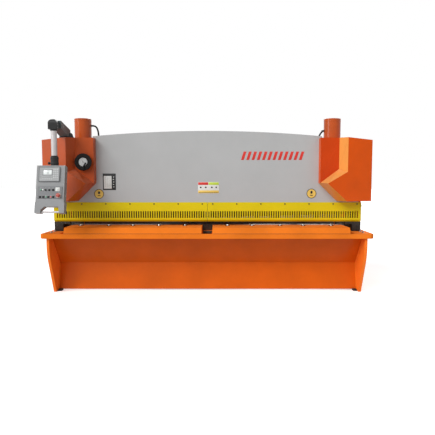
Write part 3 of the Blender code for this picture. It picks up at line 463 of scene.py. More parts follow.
class Palette:
    """Every finish on the machine, made once and fetched by name."""

    FINISHES = (
        Enamel("frame_orange", paint_chip(210, 92, 12)),
        Enamel("table_orange", paint_chip(234, 122, 36), gloss=(0.74, 0.86), scratches=0.35, dust=0.08,
               coat=0.0, shine=0.02),
        # Lighter copy of the frame orange for the side plates: painted light that brightens the feet's inner
        # faces.
        Enamel("plate_orange", paint_chip(246, 122, 38), gloss=(0.4, 0.56), mottle=0.04),
        Enamel("orange_paint", paint_chip(222, 84, 6), gloss=(0.34, 0.46), coat=0.1),
        # Painted light for the right cover: a deeper orange as painted shade on its front panel, a pale
        # orange as painted highlight on its bevels.
        Enamel("deep_orange", paint_chip(192, 62, 8), gloss=(0.34, 0.46)),
        Enamel("bevel_orange", paint_chip(230, 150, 72), gloss=(0.34, 0.46), mottle=0.03),
        # Darker, duller copy of the cover orange on the left cover and its lid: painted shade.
        Enamel("faded_orange", paint_chip(184, 80, 36), gloss=(0.3, 0.46), coat=0.14, mottle=0.08),
        # Browner copy of the cover orange for the cylinders: partly their own tone, partly painted shade for
        # their dark sides.
        Enamel("cylinder_orange", paint_chip(188, 80, 20), gloss=(0.24, 0.32), coat=0.4, peel=0.01),
        Enamel("grey_paint", paint_chip(176, 177, 177), mottle=0.025, chips=0.3, dust=0.1),
        Enamel("yellow_paint", paint_chip(214, 194, 16), mottle=0.04, edge=0.0015, chips=0.35, dust=0.12),
        Enamel("arm_grey", paint_chip(82, 89, 90), mottle=0.05, chips=0.35),
        Enamel("panel_grey", paint_chip(128, 129, 131), mottle=0.03, peel=0.09, gloss=(0.38, 0.52),
               chips=0.2),
        Enamel("console_grey", paint_chip(146, 147, 148), mottle=0.03, peel=0.09, gloss=(0.38, 0.52),
               chips=0.3),
        Enamel("dial_face", paint_chip(196, 197, 196), mottle=0.03, peel=0.02, chips=0.1, dust=0.05,
               edge=0.0015),
        MachinedSteel("tool_steel", paint_chip(168, 168, 166)),
        MachinedSteel("dark_steel", paint_chip(58, 54, 50), gloss=(0.4, 0.6), stain=paint_chip(38, 30, 24)),
        # Dark brown steel for the blades, hold-down beam and the pieces under the guard: painted shade for
        # the dark seen behind the guard, with oil stains on top.
        MachinedSteel("oily_steel", paint_chip(64, 52, 36), gloss=(0.4, 0.6), stain=paint_chip(36, 26, 16),
                      metal=0.4, rim=paint_chip(84, 70, 54)),
        MachinedSteel("bright_tube", paint_chip(196, 191, 191), gloss=(0.34, 0.46), stain_share=0.1,
                      across=1500.0, metal=0.35),
        MachinedSteel("ball_steel", paint_chip(210, 209, 208), gloss=(0.14, 0.24), stain_share=0.12,
                      across=1500.0),
        MachinedSteel("bolt_steel", paint_chip(150, 148, 144), gloss=(0.25, 0.4), stain_share=0.3),
        MachinedSteel("black_bolt", paint_chip(48, 46, 45), gloss=(0.35, 0.5), stain_share=0.3),
        MouldedSkin("rubber_hose", paint_chip(24, 23, 23), gloss=(0.45, 0.62), shine=0.12, dust=0.05),
        MouldedSkin("black_plastic", paint_chip(34, 34, 34), gloss=(0.32, 0.5), shine=0.2),
        MouldedSkin("wheel_black", paint_chip(20, 18, 17), gloss=(0.34, 0.5), shine=0.1, dust=0.05),
        MouldedSkin("screen_plastic", paint_chip(151, 153, 153), gloss=(0.35, 0.5), grain=0.08),
        MouldedSkin("red_button", paint_chip(168, 62, 50), gloss=(0.3, 0.42), grain=0.03),
        MouldedSkin("key_pale", paint_chip(176, 178, 178), gloss=(0.4, 0.55), grain=0.06),
        MouldedSkin("lamp_green", paint_chip(34, 150, 112), gloss=(0.12, 0.2), grain=0.02),
        MouldedSkin("lamp_white", paint_chip(214, 222, 220), gloss=(0.12, 0.2), grain=0.02),
        MouldedSkin("lamp_red", paint_chip(214, 66, 74), gloss=(0.12, 0.2), grain=0.02),
        MouldedSkin("screen_glass", paint_chip(220, 226, 224), gloss=(0.10, 0.16), grain=0.01, dust=0.0),
        MouldedSkin("oil_glass", paint_chip(196, 150, 60), gloss=(0.06, 0.1), grain=0.01),
        MouldedSkin("sign_pale", paint_chip(206, 206, 202), gloss=(0.35, 0.5), grain=0.03),
        MouldedSkin("sign_dark", paint_chip(36, 34, 32), gloss=(0.35, 0.5), grain=0.03, shine=0.2),
        MouldedSkin("sign_yellow", paint_chip(216, 180, 84), gloss=(0.35, 0.5), grain=0.03),
        MouldedSkin("ring_blush", paint_chip(186, 158, 148), gloss=(0.35, 0.5), grain=0.03),
        MouldedSkin("sign_red", paint_chip(196, 42, 32), gloss=(0.35, 0.5), grain=0.03),
        MouldedSkin("sign_green", paint_chip(176, 196, 60), gloss=(0.35, 0.5), grain=0.03),
    )

    def __init__(self) -> None:
        """Make the whole set."""
        self.made = {finish.name: finish.make() for finish in self.FINISHES}

    def __getitem__(self, name: str) -> bpy.types.Material:
        """Fetch one finish."""
        return self.made[name]


@dataclass
class Dressing:
    """Gives every carried-over CAD node the finish of its material slot, or its own variant of it."""

    palette: Palette
    variants: dict[str, str] = field(default_factory=lambda: {
        # The left cover and lid take a darker, duller orange as painted shade.
        "left_cylinder_cover": "faded_orange", "left_cover_lid": "faded_orange",
        # The cylinders take a browner orange, partly painted shade.
        "left_cylinder": "cylinder_orange", "right_cylinder": "cylinder_orange",
        # The side plates take a lighter orange as painted light.
        "left_side_frame": "plate_orange", "right_side_frame": "plate_orange",
        # Blades and hold-down beam take dark brown steel as painted shade.
        "upper_blade": "oily_steel", "lower_blade": "oily_steel", "hold_down_beam": "oily_steel",
        # The rear tie beam is dark grey as painted shade, so the gap under the guard reads dark.
        "rear_tie_beam": "arm_grey",
        "gap_wheel": "wheel_black", "gap_wheel_handle": "wheel_black", "button_panel": "panel_grey",
    })

    def build(self) -> None:
        """Put a finish on each node."""
        for entry in frame["record"]["subparts"]:
            slots = frame["nodes"][entry["node"]].data.materials
            slots.clear()
            slots.append(self.palette[self.variants.get(entry["node"], entry["material_slot"])])


def seat(at: Point, facing: Point = (0.0, -1.0, 0.0), up: Point = (0.0, 0.0, 1.0)) -> Matrix:
    """Find the placing of a small part on a face.

    Args:
        at: Where the part's foot lies.
        facing: The way out of the face, which becomes the part's own Z.
        up: The way that becomes the part's own Y.

    Returns:
        The matrix from the part's own metres to the machine's.
    """
    out = Vector(facing).normalized()
    side = Vector(up).cross(out).normalized()
    return shift(at) @ Matrix((side, out.cross(side), out)).transposed().to_4x4()


def rounded_outline(width: float, height: float, radius: float, steps: int = 4) -> list[Pair]:
    """Trace a rectangle with round corners, anticlockwise round the origin.

    Args:
        width: Size along X.
        height: Size along Y.
        radius: Corner radius.
        steps: Segments in a corner.

    Returns:
        The outline's points.
    """
    radius = min(radius, width / 2 - 1e-5, height / 2 - 1e-5)
    points = []
    for quarter, (across, along) in enumerate(((1, 1), (-1, 1), (-1, -1), (1, -1))):
        for step in range(steps + 1):
            turn = math.radians(90 * quarter + 90 * step / steps)
            points.append((across * (width / 2 - radius) + radius * math.cos(turn),
                           along * (height / 2 - radius) + radius * math.sin(turn)))
    return points


class Shape:
    """One mesh in the making. Its parts are drawn at a placing and written in the machine's metres."""

    def __init__(self, name: str) -> None:
        """Start an empty mesh.

        Args:
            name: Name of the piece that it becomes.
        """
        self.name = name
        self.mesh = bmesh.new()
        self.placing = Matrix.Identity(4)

    def at(self, placing: Matrix) -> Shape:
        """Draw what follows at this placing."""
        self.placing = placing
        return self

    def rings(self, rings: Sequence[Sequence[Point]], capped: bool = True, closed: bool = False) -> Shape:
        """Skin a row of rings with equal counts of points.

        Args:
            rings: The rings, each in order round the same way.
            capped: Whether the two ends are filled.
            closed: Whether the last ring joins the first.

        Returns:
            The shape itself.
        """
        rows = [[self.mesh.verts.new(self.placing @ Vector(point)) for point in ring] for ring in rings]
        pairs = list(zip(rows, rows[1:])) + ([(rows[-1], rows[0])] if closed else [])
        for low, high in pairs:
            for number in range(len(low)):
                after = (number + 1) % len(low)
                self.mesh.faces.new((low[number], low[after], high[after], high[number]))
        if capped and not closed:
            self.mesh.faces.new(list(reversed(rows[0])))
            self.mesh.faces.new(rows[-1])
        return self

    def turned(self, profile: Sequence[Pair], sides: int = 24) -> Shape:
        """Turn a profile round the placing's Z.

        Args:
            profile: Radius and height of each step; a radius of 0 at an end makes a point.
            sides: Facets round.

        Returns:
            The shape itself.
        """
        rings = []
        for radius, height in profile:
            radius = max(radius, 1e-5)
            rings.append([(radius * math.cos(2 * math.pi * k / sides),
                           radius * math.sin(2 * math.pi * k / sides), height)
                          for k in range(sides)])
        return self.rings(rings)

    def ring_of(self, profile: Sequence[Pair], sides: int = 32) -> Shape:
        """Turn a closed profile round the placing's Z, as a ring with a hole.

        Args:
            profile: Radius and height of each corner.
            sides: Number of flats round the ring.

        Returns:
            This shape.
        """
        rings = [[(radius * math.cos(2 * math.pi * k / sides), radius * math.sin(2 * math.pi * k / sides),
                   height)
                  for radius, height in profile] for k in range(sides)]
        return self.rings(rings, closed=True)

    def slab(self, outline: Sequence[Pair], low: float, high: float, ease: float = 0.0) -> Shape:
        """Raise an outline, with its upper edge eased.

        Args:
            outline: Points round a convex outline about the placing's origin.
            low: Height of the foot.
            high: Height of the top.
            ease: Width of the eased edge.

        Returns:
            The shape itself.
        """
        reach = max(max(abs(x), abs(y)) for x, y in outline)
        rings = [[(x, y, low) for x, y in outline]]
        for share, inset in ((1.0, 0.0), (0.35, 0.3), (0.0, 1.0)) if ease else ((0.0, 0.0),):
            shrink = 1 - inset * ease / reach
            rings.append([(x * shrink, y * shrink, high - share * ease) for x, y in outline])
        return self.rings(rings)

    def plate(self, width: float, height: float, thick: float, radius: float = 0.002, ease: float = 0.0006,
              middle: Pair = (0.0, 0.0), foot: float = 0.0) -> Shape:
        """Add a flat plate with round corners and eased edges.

        Args:
            width: Size along X.
            height: Size along Y.
            thick: Height above its foot.
            radius: Corner radius.
            ease: Width of the eased edge.
            middle: Where its middle lies on the face.
            foot: Height of its foot.

        Returns:
            The shape itself.
        """
        kept = self.placing
        self.placing = kept @ shift((middle[0], middle[1], foot))
        rings = [[(x, y, 0.0) for x, y in rounded_outline(width, height, radius)]]
        for drop, inset in ((ease, 0.0), (ease * 0.3, ease * 0.3), (0.0, ease)):
            edge = rounded_outline(width - 2 * inset, height - 2 * inset, max(radius - inset, 1e-4))
            rings.append([(x, y, thick - drop) for x, y in edge])
        self.rings(rings)
        self.placing = kept
        return self

    def tube(self, path: Sequence[Point], radius: float, sides: int = 14) -> Shape:
        """Sweep a round section along a path, with its ends filled.

        Args:
            path: Points of the middle line.
            radius: Radius of the section.
            sides: Facets round.

        Returns:
            The shape itself.
        """
        points = [Vector(point) for point in path]
        across = None
        rings = []
        for number, point in enumerate(points):
            ahead = (points[min(number + 1, len(points) - 1)] - points[max(number - 1, 0)]).normalized()
            if across is None:
                across = ahead.orthogonal().normalized()
            across = (across - ahead * across.dot(ahead)).normalized()
            other = ahead.cross(across)
            rings.append([tuple(point + (across * math.cos(2 * math.pi * k / sides)
                                         + other * math.sin(2 * math.pi * k / sides)) * radius)
                          for k in range(sides)])
        return self.rings(rings)

    def words(self, text: str, size: float, middle: Pair = (0.0, 0.0), thick: float = 0.0006) -> Shape:
        """Add plain figures, upright on the placing's face.

        Args:
            text: The figures.
            size: Height of the letters' body.
            middle: Where their middle lies.
            thick: How far they stand out.

        Returns:
            The shape itself.
        """
        font = bpy.data.curves.new("figures", "FONT")
        font.body, font.size, font.extrude = text, size, thick
        font.align_x, font.align_y = "CENTER", "CENTER"
        holder = bpy.data.objects.new("figures", font)
        drawn = bpy.data.meshes.new_from_object(holder)
        drawn.transform(self.placing @ shift((middle[0], middle[1], 0.0)))
        self.mesh.from_mesh(drawn)
        bpy.data.objects.remove(holder)
        bpy.data.curves.remove(font)
        bpy.data.meshes.remove(drawn)
        return self

    def hex_bolt(self, across: float, washer: bool = True) -> Shape:
        """Add a hexagon head on its washer.

        Args:
            across: Width over the flats.
            washer: Whether it sits on a washer.

        Returns:
            The shape itself.
        """
        foot = 0.0
        if washer:
            foot = 0.13 * across
            self.turned([(0.95 * across, 0.0), (0.95 * across, foot * 0.7), (0.90 * across, foot)], 20)
        half = across / math.sqrt(3)
        rings = []
        for height, reach in ((foot - 0.0002, 1.0), (foot + 0.56 * across, 1.0),
                              (foot + 0.66 * across, 0.86)):
            rings.append([(half * reach * math.cos(math.pi * k / 3),
                           half * reach * math.sin(math.pi * k / 3), height)
                          for k in range(6)])
        return self.rings(rings)

    def socket_screw(self, radius: float, height: float, sides: int = 18) -> Shape:
        """Add a round screw head with a hexagon socket sunk in it.

        Args:
            radius: Radius of the head.
            height: Height of the head.
            sides: Facets round, a multiple of six.

        Returns:
            The shape itself.
        """
        def circle(reach: float, up: float) -> list[Point]:
            """Points round the head at a height."""
            return [(reach * math.cos(2 * math.pi * k / sides), reach * math.sin(2 * math.pi * k / sides), up)
                    for k in range(sides)]

        def socket(up: float) -> list[Point]:
            """Find as many points round the hexagon of the socket.

            Args:
                up: Their height.

            Returns:
                The points.
            """
            step = sides // 6
            corner = [(0.5 * radius * math.cos(math.pi * k / 3), 0.5 * radius * math.sin(math.pi * k / 3))
                      for k in range(7)]
            return [(corner[k // step][0] + (corner[k // step + 1][0]
                                             - corner[k // step][0]) * (k % step) / step,
                     corner[k // step][1] + (corner[k // step + 1][1]
                                             - corner[k // step][1]) * (k % step) / step, up)
                    for k in range(sides)]

        return self.rings([circle(radius, 0.0), circle(radius, 0.88 * height), circle(0.9 * radius, height),
                           socket(height), socket(0.45 * height)])

    def piece(self, finish: bpy.types.Material, body: Body = Body.MACHINE,
              slot: str | None = None) -> bpy.types.Object:
        """Close the mesh and set it in the scene on its body.

        Args:
            finish: Its material.
            body: Body that it rides on.
            slot: Material slot of the record, or that of the finish's name; not used.

        Returns:
            The new object.
        """
        bmesh.ops.remove_doubles(self.mesh, verts=self.mesh.verts, dist=1e-6)
        bmesh.ops.dissolve_degenerate(self.mesh, edges=self.mesh.edges, dist=1e-7)
        bmesh.ops.recalc_face_normals(self.mesh, faces=self.mesh.faces)
        mesh = bpy.data.meshes.new(self.name)
        self.mesh.to_mesh(mesh)
        self.mesh.free()
        mesh.polygons.foreach_set("use_smooth", [True] * len(mesh.polygons))
        mesh.set_sharp_from_angle(angle=math.radians(32))
        mesh.materials.append(finish)
        made = bpy.data.objects.new(self.name, mesh)
        bpy.context.scene.collection.objects.link(made)
        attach(made, body.value)
        log.info("  %s: %d faces on %s", self.name, len(mesh.polygons), body.value)
        return made


def spread(first: float, last: float, count: int) -> list[float]:
    """Space some places evenly from the first to the last."""
    return [first + (last - first) * step / (count - 1) for step in range(count)]


@dataclass
class TableTop:
    """Ball transfers, screws, bolts, seals and the notch plate of the bed and its two table blocks."""

    palette: Palette
    balls: tuple[float, ...] = (-1.4535, -1.1317, -0.856, -0.5572, -0.2584, 0.2298, 0.5114, 0.8332, 1.0975,
                                1.4192)
    ball_row: float = -0.433
    ball_radius: float = 0.016
    cup_radius: float = 0.028
    hole_rear: float = -0.380
    screw_rows: tuple[float, ...] = (-0.340, -0.655)
    screw_radius: float = 0.0085

    def ball_transfers(self) -> None:
        """Set a steel ball in its cup at each place along the table."""
        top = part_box("left_table_block")[1].z
        cups, balls = Shape("table_ball_cups"), Shape("table_balls")
        for x in self.balls:
            placing = seat((x, self.ball_row, top), (0, 0, 1), (0, 1, 0))
            low, edge = self.ball_radius + 0.001, self.cup_radius
            cups.at(placing).ring_of([(edge, 0.0), (edge, 0.0030), (edge - 0.0030, 0.0060),
                                      (low + 0.002, 0.0066),
                                      (low, 0.0050), (low, 0.0)], 28)
            rise = [(self.ball_radius * math.cos(turn), self.ball_radius * math.sin(turn) * 1.10)
                    for turn in (math.radians(15 * step) for step in range(7))]
            balls.at(placing).turned(rise, 24)
        cups.piece(self.palette["dark_steel"])
        balls.piece(self.palette["ball_steel"])

    def block_screws(self) -> None:
        """Screw the two blocks to the bed plate."""
        screws = Shape("table_block_screws")
        for side in Side:
            low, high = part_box(f"{side.word}_table_block")
            for row in self.screw_rows:
                for x in spread(low.x + 0.10, high.x - 0.10, 6):
                    screws.at(seat((x, row, high.z - 0.0002), (0, 0, 1), (0, 1, 0)))
                    screws.socket_screw(self.screw_radius, 0.0014)
        screws.piece(self.palette["table_orange"])

    def seams(self) -> None:
        """Seal the blocks to the lip, and put a dark plate at the rear of the hole in the notch between them
        as painted shade.
        """
        seals, liner = Shape("table_seals"), Shape("notch_liner")
        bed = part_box("bed_plate")[1].z
        for side in Side:
            low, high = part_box(f"{side.word}_table_block")
            middle = ((low.x + high.x) / 2, low.y, bed + 0.0019)
            seals.at(seat(middle)).plate(high.x - low.x - 0.004, 0.0030, 0.0008, 0.001, 0.0003)
        liner.at(seat((0.0, self.hole_rear + 0.0002,
                       bed - 0.0240))).plate(0.0990, 0.0476, 0.0010, 0.002, 0.0003)
        seals.piece(self.palette["oily_steel"])
        liner.piece(self.palette["oily_steel"])

    def wing_screws(self) -> None:
        """Put the hexagon bolts on the bed plate's two wings, where it lies on the side plates."""
        bolts = Shape("bed_wing_bolts")
        low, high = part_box("bed_plate")
        for side in Side:
            for y in (low.y + 0.16, low.y + 0.27):
                x = side.value * (high.x - 0.075)
                bolts.at(seat((x, y, high.z - 0.0002), (0, 0, 1), (0, 1, 0))).hex_bolt(0.019)
        bolts.piece(self.palette["bolt_steel"])

    def build(self) -> None:
        """Build the pieces of the table."""
        self.ball_transfers()
        self.block_screws()
        self.seams()
        self.wing_screws()


@dataclass
class GuardFittings:
    """Screws, seam plate and end brackets of the slotted finger guard."""

    palette: Palette
    first: float = 0.06
    pitch: float = 0.2755
    count: int = 7
    height: float = 1.005
    head: float = 0.0056
    slot: tuple[float, float, float, float] = (0.0164, 0.011, 0.8465, 0.9195)

    def screws(self) -> None:
        """Put a black screw on its washer at each place along the top of the guard."""
        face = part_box("left_finger_guard")[0].y
        heads, washers = Shape("guard_screws"), Shape("guard_washers")
        for side in Side:
            for number in range(self.count):
                x = side.value * min(self.first + self.pitch * number, 1.712)
                placing = seat((x, face, self.height))
                washers.at(placing).turned([(self.head * 1.45, 0.0), (self.head * 1.45, 0.0009),
                                            (self.head * 1.35, 0.0013)], 20)
                heads.at(placing @ shift((0, 0, 0.0012))).socket_screw(self.head, 0.0048)
        washers.piece(self.palette["black_bolt"])
        heads.piece(self.palette["black_bolt"])

    def end_plates(self) -> None:
        """Stand a plate under each end of the guard, down to the bed."""
        plates = Shape("guard_end_plates")
        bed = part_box("bed_plate")[1].z
        for side in Side:
            low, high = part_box(f"{side.word}_finger_guard")
            outer = high.x if side is Side.RIGHT else -low.x
            middle = (side.value * (outer - 0.0035), high.y + 0.0155, bed)
            plates.at(shift(middle)).plate(0.006, 0.030, low.z - bed - 0.0002, 0.001, 0.0006)
        plates.piece(self.palette["yellow_paint"])

    def seam_slots(self) -> None:
        """Mark the slot beside the seam on each half with a dark plate, as painted shade where a slot shows
        dark.
        """
        inlays = Shape("guard_seam_slots")
        x, width, bottom, top = self.slot
        for side in Side:
            face = seat((side.value * x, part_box("left_finger_guard")[0].y, (bottom + top) / 2))
            inlays.at(face).plate(width, top - bottom, 0.0004, 0.005, 0.0001)
        inlays.piece(self.palette["rubber_hose"])

    def seam(self) -> None:
        """Lay the joint strip behind the seam between the two halves."""
        strip = Shape("guard_joint_strip")
        low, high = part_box("left_finger_guard")
        strip.at(seat((0.0, low.y + 0.0052, (self.height + 0.93) / 2)))
        strip.plate(0.0029, high.z - 0.93 - 0.02, 0.0035, 0.001, 0.0003)
        strip.piece(self.palette["dark_steel"])

    def build(self) -> None:
        """Build the pieces of the guard."""
        self.screws()
        self.end_plates()
        self.seam_slots()
        self.seam()


@dataclass
class BeamMarks:
    """Generic plates and marks on the arched front beam, with no words or signs."""

    palette: Palette
    chart_low: Pair = (-1.193, 1.164)
    chart_high: Pair = (-1.045, 1.352)
    discs: tuple[Pair, ...] = ((-1.239, 1.119), (1.189, 1.124))
    disc_radius: float = 0.055
    strip_low: Pair = (-0.108, 1.125)
    strip_high: Pair = (0.132, 1.255)
    band_from: float = 0.383
    band_to: float = 1.10
    band_low: float = 1.505
    band_high: float = 1.600

    def face(self, x: float, z: float, out: float = 0.0) -> Matrix:
        """Find the placing at a place on the beam's front."""
        return seat((x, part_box("front_beam")[0].y - out, z))

    def chart(self) -> None:
        """Build the chart plate: black rim, pale field with ruled lines, dark column with pale marks."""
        (left, low), (right, high) = self.chart_low, self.chart_high
        wide, tall = right - left, high - low
        placing = self.face((left + right) / 2, (low + high) / 2)
        rim = Shape("chart_rim").at(placing).plate(wide, tall, 0.0016, 0.003, 0.0004)
        for x in (-wide / 2 + 0.006, wide / 2 - 0.006):
            for y in (-tall / 2 + 0.006, tall / 2 - 0.006):
                rim.at(placing @ shift((x, y, 0.0016))).turned([(0.0026, 0.0), (0.0022, 0.0010),
                                                                (0.0010, 0.0014)], 14)
        rim.piece(self.palette["black_plastic"])
        field_wide = 0.60 * wide
        field_middle = -wide / 2 + 0.011 + field_wide / 2
        sheet = Shape("chart_field").at(placing).plate(field_wide, tall - 0.044, 0.0006, 0.001, 0.0002,
                                                       (field_middle, -0.006), 0.0015)
        for row, y in enumerate(spread(tall / 2 - 0.040, -tall / 2 + 0.035, 5)):
            sheet.at(placing).plate(0.011, 0.009, 0.0006, 0.001, 0.0002,
                                    (wide / 2 - 0.024 - 0.003 * (row % 2), y), 0.0015)
        sheet.piece(self.palette["sign_pale"])
        lines = Shape("chart_lines").at(placing)
        for y in spread(tall / 2 - 0.042, -tall / 2 + 0.034, 9):
            lines.plate(field_wide - 0.010, 0.0009, 0.0002, 0.0003, 0.0001, (field_middle, y), 0.0020)
        for x in (-0.3, 0.0, 0.3):
            lines.plate(0.0009, tall - 0.070, 0.0002, 0.0003, 0.0001, (field_middle + x * field_wide, 0.0),
                        0.0020)
        lines.piece(self.palette["sign_dark"])

    def round_marks(self) -> None:
        """Build the two round yellow marks with their dark rims."""
        yellow, dark = Shape("round_marks"), Shape("round_mark_rims")
        for x, z in self.discs:
            radius = self.disc_radius
            placing = self.face(x, z)
            yellow.at(placing).turned([(radius, 0.0), (radius, 0.0008), (radius - 0.0004, 0.0011)], 48)
            dark.at(placing).ring_of([(radius + 0.0004, 0.0), (radius + 0.0004, 0.0014),
                                      (radius - 0.0060, 0.0014),
                                      (radius - 0.0060, 0.0008)], 48)
            dark.at(placing).plate(0.024, 0.034, 0.0006, 0.0110, 0.0002, (0.0, 0.014), 0.0009)
            dark.at(placing).plate(0.034, 0.009, 0.0006, 0.0044, 0.0002, (0.0, -0.020), 0.0009)
        yellow.piece(self.palette["sign_yellow"])
        dark.piece(self.palette["sign_dark"])

    def colour_strip(self) -> None:
        """Build the strip of coloured fields in the middle."""
        (left, low), (right, high) = self.strip_low, self.strip_high
        wide, tall = right - left, high - low
        placing = self.face((left + right) / 2, (low + high) / 2)
        gap = 0.004
        Shape("strip_base").at(placing).plate(wide, tall, 0.0010, 0.003,
                                              0.0003).piece(self.palette["sign_pale"])
        Shape("strip_red").at(placing).plate(
            wide / 2 - gap, 0.030, 0.0005, 0.002, 0.0002, (-wide / 4, tall / 2 - 0.018),
                                             0.0009).piece(self.palette["sign_red"])
        green = Shape("strip_green").at(placing)
        green.plate(wide / 2 - gap, 0.030, 0.0005, 0.002, 0.0002, (wide / 4, tall / 2 - 0.018), 0.0009)
        green.piece(self.palette["sign_green"])
        yellow = Shape("strip_yellow").at(placing)
        yellow.plate(wide - gap, 0.032, 0.0005, 0.002, 0.0002, (0.0, -tall / 2 + 0.019), 0.0009)
        yellow.piece(self.palette["sign_yellow"])
        dots = Shape("strip_dots")
        for x in (-0.37, -0.13, 0.16, 0.37):
            dots.at(placing @ shift((x * wide, 0.004, 0.0009))).turned([(0.0095, 0.0), (0.0093, 0.0005)], 24)
        dots.at(placing).plate(wide - 0.016, 0.004, 0.0004, 0.001, 0.0001, (0.0, -tall / 2 + 0.010), 0.0013)
        dots.piece(self.palette["sign_dark"])

    def red_band(self) -> None:
        """Build the band of plain slanting red bars at the upper right."""
        tall = self.band_high - self.band_low
        bars = Shape("red_bars")
        lean = 0.16 * tall
        for x in spread(self.band_from + 0.03, self.band_to - 0.03, 12):
            outline = [(-0.016 - lean, -tall / 2), (0.016 - lean, -tall / 2), (0.016 + lean, tall / 2),
                       (-0.016 + lean, tall / 2)]
            bars.at(self.face(x, (self.band_low + self.band_high) / 2)).slab(outline, 0.0, 0.0011, 0.0003)
        bars.piece(self.palette["sign_red"])

    def build(self) -> None:
        """Build every mark on the beam."""
        self.chart()
        self.round_marks()
        self.colour_strip()
        self.red_band()


@dataclass
class Covers:
    """Screws, end caps and collars of the cylinder covers and the cylinders that rise out of them, and
    painted shade and highlight on the right cover.
    """

    palette: Palette
    screw: float = 0.0065
    cap_bolts: int = 8

    def skirt_screws(self) -> None:
        """Screw each cover to its side plate and its lid."""
        screws = Shape("cover_screws")
        for side in Side:
            low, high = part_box(f"{side.word}_cylinder_cover")
            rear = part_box(f"{side.word}_cover_lid")[1]
            outer = side.value * high.x if side is Side.RIGHT else low.x
            for y in (rear.y - 0.04, (high.y + rear.y) / 2, high.y + 0.04):
                for z in (low.z + 0.05, low.z + 0.30, high.z - 0.10):
                    placing = seat((outer, y, z), (side.value, 0, 0))
                    screws.at(placing).turned([(self.screw * 1.6, 0.0), (self.screw * 1.6, 0.0010)], 18)
                    screws.at(placing @ shift((0, 0, 0.0009))).socket_screw(self.screw, 0.0040)
        screws.piece(self.palette["bolt_steel"])

    def cylinder_heads(self) -> None:
        """Bolt a head on each cylinder, with a turned collar below it."""
        bolts, collars = Shape("cylinder_head_bolts"), Shape("cylinder_collars")
        plugs = Shape("cylinder_plugs")
        for side in Side:
            low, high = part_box(f"{side.word}_cylinder")
            middle, radius = (low + high) / 2, (high.x - low.x) / 2
            for height in (high.z - 0.012, high.z - 0.034):
                placing = shift((middle.x, middle.y, height))
                collars.at(placing).ring_of([(radius - 0.002, 0.0), (radius + 0.0016, 0.0012),
                                             (radius + 0.0016, 0.0088),
                                             (radius - 0.002, 0.0100)], 64)
            for number in range(self.cap_bolts):
                turn = 2 * math.pi * (number + 0.5) / self.cap_bolts
                at = (middle.x + 0.072 * math.cos(turn), middle.y + 0.072 * math.sin(turn), high.z)
                bolts.at(shift(at)).socket_screw(0.0085, 0.0012)
            plugs.at(shift((middle.x, middle.y, high.z - 0.0002))).socket_screw(0.0120, 0.0016)
        collars.piece(self.palette["cylinder_orange"], slot="orange_paint")
        bolts.piece(self.palette["black_bolt"])
        plugs.piece(self.palette["bolt_steel"])

    def films(self) -> None:
        """Lay painted shade on the right cover's front panel as a deeper orange, and a painted highlight on
        its bevels as a lighter one.
        """
        cover = frame["nodes"]["right_cylinder_cover"]
        panel, bevels = Shape("cover_panel_coat"), Shape("cover_bevel_coat")
        for face in cover.data.polygons:
            normal = cover.matrix_world.to_3x3() @ face.normal
            lies_front, is_bevel = normal.y < -0.99, normal.x < -0.2 and normal.y < -0.05
            if lies_front or is_bevel:
                corners = [cover.matrix_world @ cover.data.vertices[index].co for index in face.vertices]
                layers = [[tuple(corner + normal * rise) for corner in corners] for rise in (-0.0002, 0.0004)]
                (panel if lies_front else bevels).at(Matrix.Identity(4)).rings(layers)
        panel.piece(self.palette["deep_orange"], slot="orange_paint")
        bevels.piece(self.palette["bevel_orange"], slot="orange_paint")

    def lid_edges(self) -> None:
        """Trim the gap round each cylinder with a rubber collar."""
        collars = Shape("cover_grommets")
        for side in Side:
            low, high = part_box(f"{side.word}_cylinder")
            middle, radius = (low + high) / 2, (high.x - low.x) / 2
            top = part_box(f"{side.word}_cover_lid")[1].z
            collars.at(shift((middle.x, middle.y, top - 0.0002)))
            collars.ring_of([(radius + 0.0004, 0.0), (radius + 0.0004, 0.008), (radius + 0.003, 0.010),
                             (radius + 0.008, 0.007),
                             (radius + 0.010, 0.0)], 64)
        collars.piece(self.palette["rubber_hose"])

    def build(self) -> None:
        """Build the pieces of both covers."""
        self.skirt_screws()
        self.cylinder_heads()
        self.films()
        self.lid_edges()


@dataclass
class HoseFittings:
    """Woven jacket of each oil hose, and the nuts and crimped sleeves at its two ends."""

    palette: Palette
    starts: dict[Side, Point] = field(default_factory=lambda: {
        Side.LEFT: (-1.3512, -0.290, 1.904), Side.RIGHT: (1.3512, -0.290, 1.846)})
    ends: dict[Side, Point] = field(default_factory=lambda: {
        Side.LEFT: (-1.2692, -0.260, 1.6603), Side.RIGHT: (1.2882, -0.260, 1.6603)})
    radius: float = 0.0075
    jacket: float = 0.0022

    def fitting(self, nuts: Shape, sleeves: Shape, placing: Matrix) -> None:
        """Put a nut at the face and a ringed sleeve on the hose behind it.

        Args:
            nuts: Shape that takes the nut.
            sleeves: Shape that takes the sleeve.
            placing: Placing on the face, facing along the hose.
        """
        nuts.at(placing).hex_bolt(0.0195, washer=False)
        nuts.at(placing).turned([(0.0125, 0.0), (0.0125, 0.003), (0.0115, 0.0035)], 20)
        profile = [(self.radius + 0.0002, 0.009)]
        for ridge in range(4):
            foot = 0.010 + 0.0042 * ridge
            profile += [(self.radius + 0.0026, foot), (self.radius + 0.0026, foot + 0.0026),
                        (self.radius + 0.0016, foot + 0.0034)]
        sleeves.at(placing).turned(profile + [(self.radius + 0.0002, 0.028)], 20)

    def build(self) -> None:
        """Build the fittings of both hoses."""
        nuts, sleeves, jackets = Shape("hose_nuts"), Shape("hose_sleeves"), Shape("hose_jackets")
        for side in Side:
            jackets.mesh.from_mesh(frame["nodes"][f"{side.word}_hose"].data)
            self.fitting(nuts, sleeves, seat(self.starts[side], (-side.value, 0, 0)))
            self.fitting(nuts, sleeves, shift(self.ends[side]))
        jackets.mesh.normal_update()
        for point in jackets.mesh.verts:
            point.co += point.normal * self.jacket
        jackets.piece(self.palette["rubber_hose"])
        nuts.piece(self.palette["black_bolt"])
        sleeves.piece(self.palette["black_bolt"])


